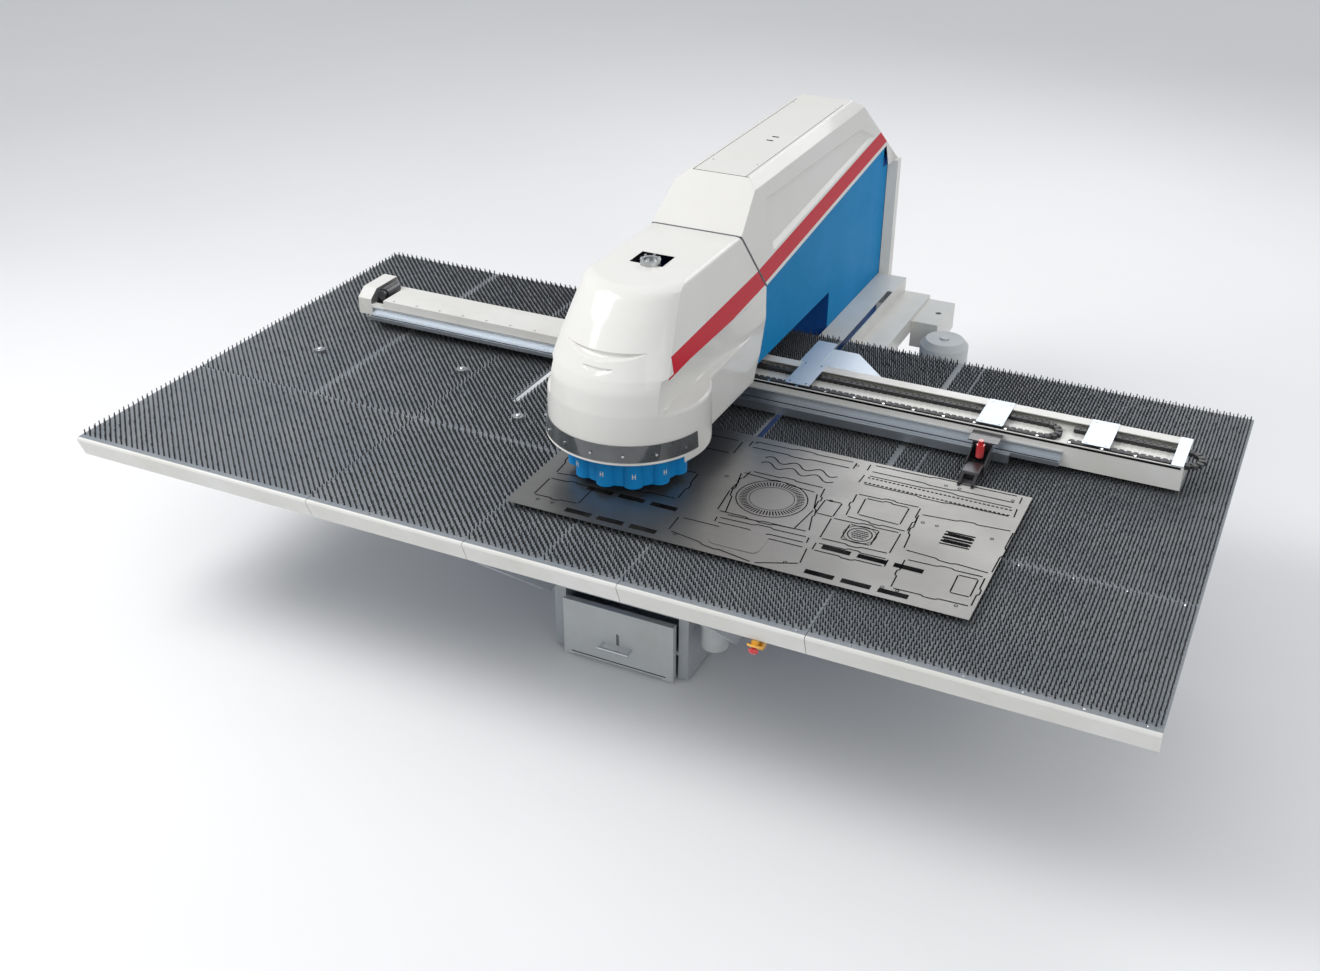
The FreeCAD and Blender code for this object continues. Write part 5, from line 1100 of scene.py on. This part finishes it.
def build_button():
    """Mushroom head of the stop button, turned about its leaning axis."""
    low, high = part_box("stop_button")
    centre = (Vector(low) + Vector(high)) / 2
    axis = Vector((0, -math.sin(STOP_LEAN), math.cos(STOP_LEAN))).normalized()
    mesh = bmesh.new()
    outline = [(0.0, 0.022), (0.010, 0.0212), (0.016, 0.018), (0.0195, 0.012), (0.0200, 0.006),
               (0.0185, 0.002),
               (0.010, 0.0), (0.010, -0.018), (0.0, -0.018)]
    verts = [mesh.verts.new((radius, 0, up)) for radius, up in outline]
    edges = [mesh.edges.new(pair) for pair in zip(verts, verts[1:])]
    bmesh.ops.spin(mesh, geom=verts + edges, cent=(0, 0, 0), axis=(0, 0, 1), angle=math.tau, steps=32,
                   use_merge=True)
    bmesh.ops.remove_doubles(mesh, verts=mesh.verts, dist=WELD)
    bmesh.ops.recalc_face_normals(mesh, faces=mesh.faces)
    turn = axis.to_track_quat("Z", "Y").to_matrix().to_4x4()
    bmesh.ops.transform(mesh, matrix=Matrix.Translation(centre) @ turn, verts=mesh.verts)
    made = piece("stop_mushroom", mesh, "stop_button", "red", "red_paint", "stop_button")
    sharp_by_angle(made, 50)


# ------------------------------------------------------------------ stage
CAMERA_PLACE = (2.5795, -6.1123, 4.1725)
CAMERA_YAW = 0.4444
CAMERA_DOWN = 0.5218
CAMERA_ROLL = 0.0054


def place_camera(lens):
    """The camera looks down over the table's right front corner."""
    level = math.cos(CAMERA_DOWN)
    forward = Vector((-math.sin(CAMERA_YAW) * level, math.cos(CAMERA_YAW) * level, -math.sin(CAMERA_DOWN)))
    right = Vector((math.cos(CAMERA_YAW), math.sin(CAMERA_YAW), 0.0))
    up = right.cross(forward)
    turned_right = right * math.cos(CAMERA_ROLL) + up * math.sin(CAMERA_ROLL)
    turned_up = up * math.cos(CAMERA_ROLL) - right * math.sin(CAMERA_ROLL)
    data = bpy.data.cameras.new("Camera")
    data.lens = lens
    data.sensor_width = 36.0
    data.clip_end = 200.0
    camera = linked("Camera", data)
    matrix = Matrix((turned_right, turned_up, -forward)).transposed().to_4x4()
    matrix.translation = CAMERA_PLACE
    camera.matrix_world = matrix
    bpy.context.scene.camera = camera


def soft_light(name, place, target, size, power):
    data = bpy.data.lights.new(name, "AREA")
    data.shape = "RECTANGLE"
    data.size, data.size_y = size
    data.energy = power
    lamp = linked(name, data)
    lamp.location = place
    lamp.rotation_euler = (Vector(target) - Vector(place)).to_track_quat("-Z", "Y").to_euler()


class PUNCH_OT_stage(bpy.types.Operator):
    """Floor, camera and soft studio light"""
    bl_idname = "punch.stage"
    bl_label = "Build stage"

    def execute(self, context):
        stage = context.scene.punch_stage
        mesh = bmesh.new()
        bmesh.ops.create_grid(mesh, x_segments=1, y_segments=1, size=stage.floor_size / 2)
        floor = linked("floor", mesh_data("floor", mesh))
        finish, nodes, links, shader = new_material("StudioFloor")
        skin = place_group(nodes, "skin", Patch_scale=0.4, Grain_scale=30.0)
        shade = colour_mix(nodes, links, skin.outputs["Patches"], (0.86, 0.86, 0.86), (0.88, 0.88, 0.88))
        links.new(shade, shader.inputs["Base Color"])
        settle(shader, Roughness=0.8)
        floor.data.materials.append(finish)
        world = bpy.data.worlds.new("Studio")
        context.scene.world = world
        world.use_nodes = True
        settle(world.node_tree.nodes["Background"], Color=(0.94, 0.96, 1.0, 1.0), Strength=0.62)
        soft_light("Key", (-4.5, -3.5, 7.0), (0.0, -0.4, 1.0), (4.0, 4.0), 420.0)
        soft_light("Fill", (6.5, -4.5, 4.5), (0.3, 0.0, 0.9), (4.0, 3.0), 100.0)
        soft_light("Back", (1.0, 7.5, 6.0), (0.0, 0.6, 1.2), (6.0, 2.5), 170.0)
        context.scene.view_settings.view_transform = "Standard"
        place_camera(stage.lens)
        return {"FINISHED"}


# ------------------------------------------------------------------ operators
class Builder:
    """What the plain operators share: each runs its builders in turn."""
    builders = ()

    def execute(self, context):
        for build in self.builders:
            build()
        return {"FINISHED"}


class PUNCH_OT_finishes(bpy.types.Operator):
    """Mix every finish and give each machined part its own"""
    bl_idname = "punch.finishes"
    bl_label = "Apply finishes"

    def execute(self, context):
        mix_finishes()
        for name, finish in NODE_FINISH.items():
            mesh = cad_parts[name].data
            mesh.materials.clear()
            mesh.materials.append(FINISHES[finish])
        bare = [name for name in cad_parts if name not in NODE_FINISH]
        if bare:
            raise RuntimeError(f"no finish for {', '.join(bare)}")
        return {"FINISHED"}


class PUNCH_OT_tufts(Builder, bpy.types.Operator):
    """Fields of bristle tufts on the table"""
    bl_idname = "punch.tufts"
    bl_label = "Plant tufts"
    builders = (build_tufts,)


class PUNCH_OT_front_hood(Builder, bpy.types.Operator):
    """Moulded front hood round the turret, with its seal"""
    bl_idname = "punch.front_hood"
    bl_label = "Mould front hood"
    builders = (build_front_hood, build_seal,)


class PUNCH_OT_rear_hood(Builder, bpy.types.Operator):
    """Moulded rear hood with its recess, hatch and screws"""
    bl_idname = "punch.rear_hood"
    bl_label = "Mould rear hood"
    builders = (build_rear_hood, build_hood_details,)


class PUNCH_OT_sheet(Builder, bpy.types.Operator):
    """Cut lines, slots and boss of the workpiece sheet"""
    bl_idname = "punch.sheet"
    bl_label = "Punch sheet"
    builders = (build_sheet_lines,)


class PUNCH_OT_chains(Builder, bpy.types.Operator):
    """Links of the cable chains on the cross beam"""
    bl_idname = "punch.chains"
    bl_label = "Link chains"
    builders = (build_chains,)


class PUNCH_OT_beam(Builder, bpy.types.Operator):
    """Bolts and shadow gaps of the cross beam"""
    bl_idname = "punch.beam"
    bl_label = "Detail beam"
    builders = (build_beam_details,)


class PUNCH_OT_button(Builder, bpy.types.Operator):
    """Stop button's mushroom head, drawer flanges and slots, and the turret's ticks"""
    bl_idname = "punch.button"
    bl_label = "Finish lower front"
    builders = (build_drawer_returns, build_turret_marks, build_button,)


OPERATORS = (PUNCH_OT_stage, PUNCH_OT_finishes, PUNCH_OT_tufts, PUNCH_OT_front_hood, PUNCH_OT_rear_hood,
             PUNCH_OT_sheet, PUNCH_OT_chains, PUNCH_OT_beam, PUNCH_OT_button)


class PUNCH_PT_panel(bpy.types.Panel):
    bl_idname = "PUNCH_PT_panel"
    bl_label = "Punch press"
    bl_space_type = "VIEW_3D"
    bl_region_type = "UI"
    bl_category = "Punch press"

    def draw(self, context):
        for settings in (context.scene.punch_hood, context.scene.punch_table, context.scene.punch_stage):
            box = self.layout.box()
            for name in settings.bl_rna.properties.keys():
                if name not in {"rna_type", "name"}:
                    box.prop(settings, name)
        for kind in OPERATORS:
            self.layout.operator(kind.bl_idname)


CLASSES = (HoodSettings, TableSettings, StageSettings, *OPERATORS, PUNCH_PT_panel)


def register():
    for kind in CLASSES:
        bpy.utils.register_class(kind)
    bpy.types.Scene.punch_hood = bpy.props.PointerProperty(type=HoodSettings)
    bpy.types.Scene.punch_table = bpy.props.PointerProperty(type=TableSettings)
    bpy.types.Scene.punch_stage = bpy.props.PointerProperty(type=StageSettings)


def unregister():
    del bpy.types.Scene.punch_stage
    del bpy.types.Scene.punch_table
    del bpy.types.Scene.punch_hood
    for kind in reversed(CLASSES):
        bpy.utils.unregister_class(kind)


def main():
    register()
    for kind in OPERATORS:
        group, name = kind.bl_idname.split(".")
        getattr(getattr(bpy.ops, group), name)()


if __name__ == "__main__":
    main()
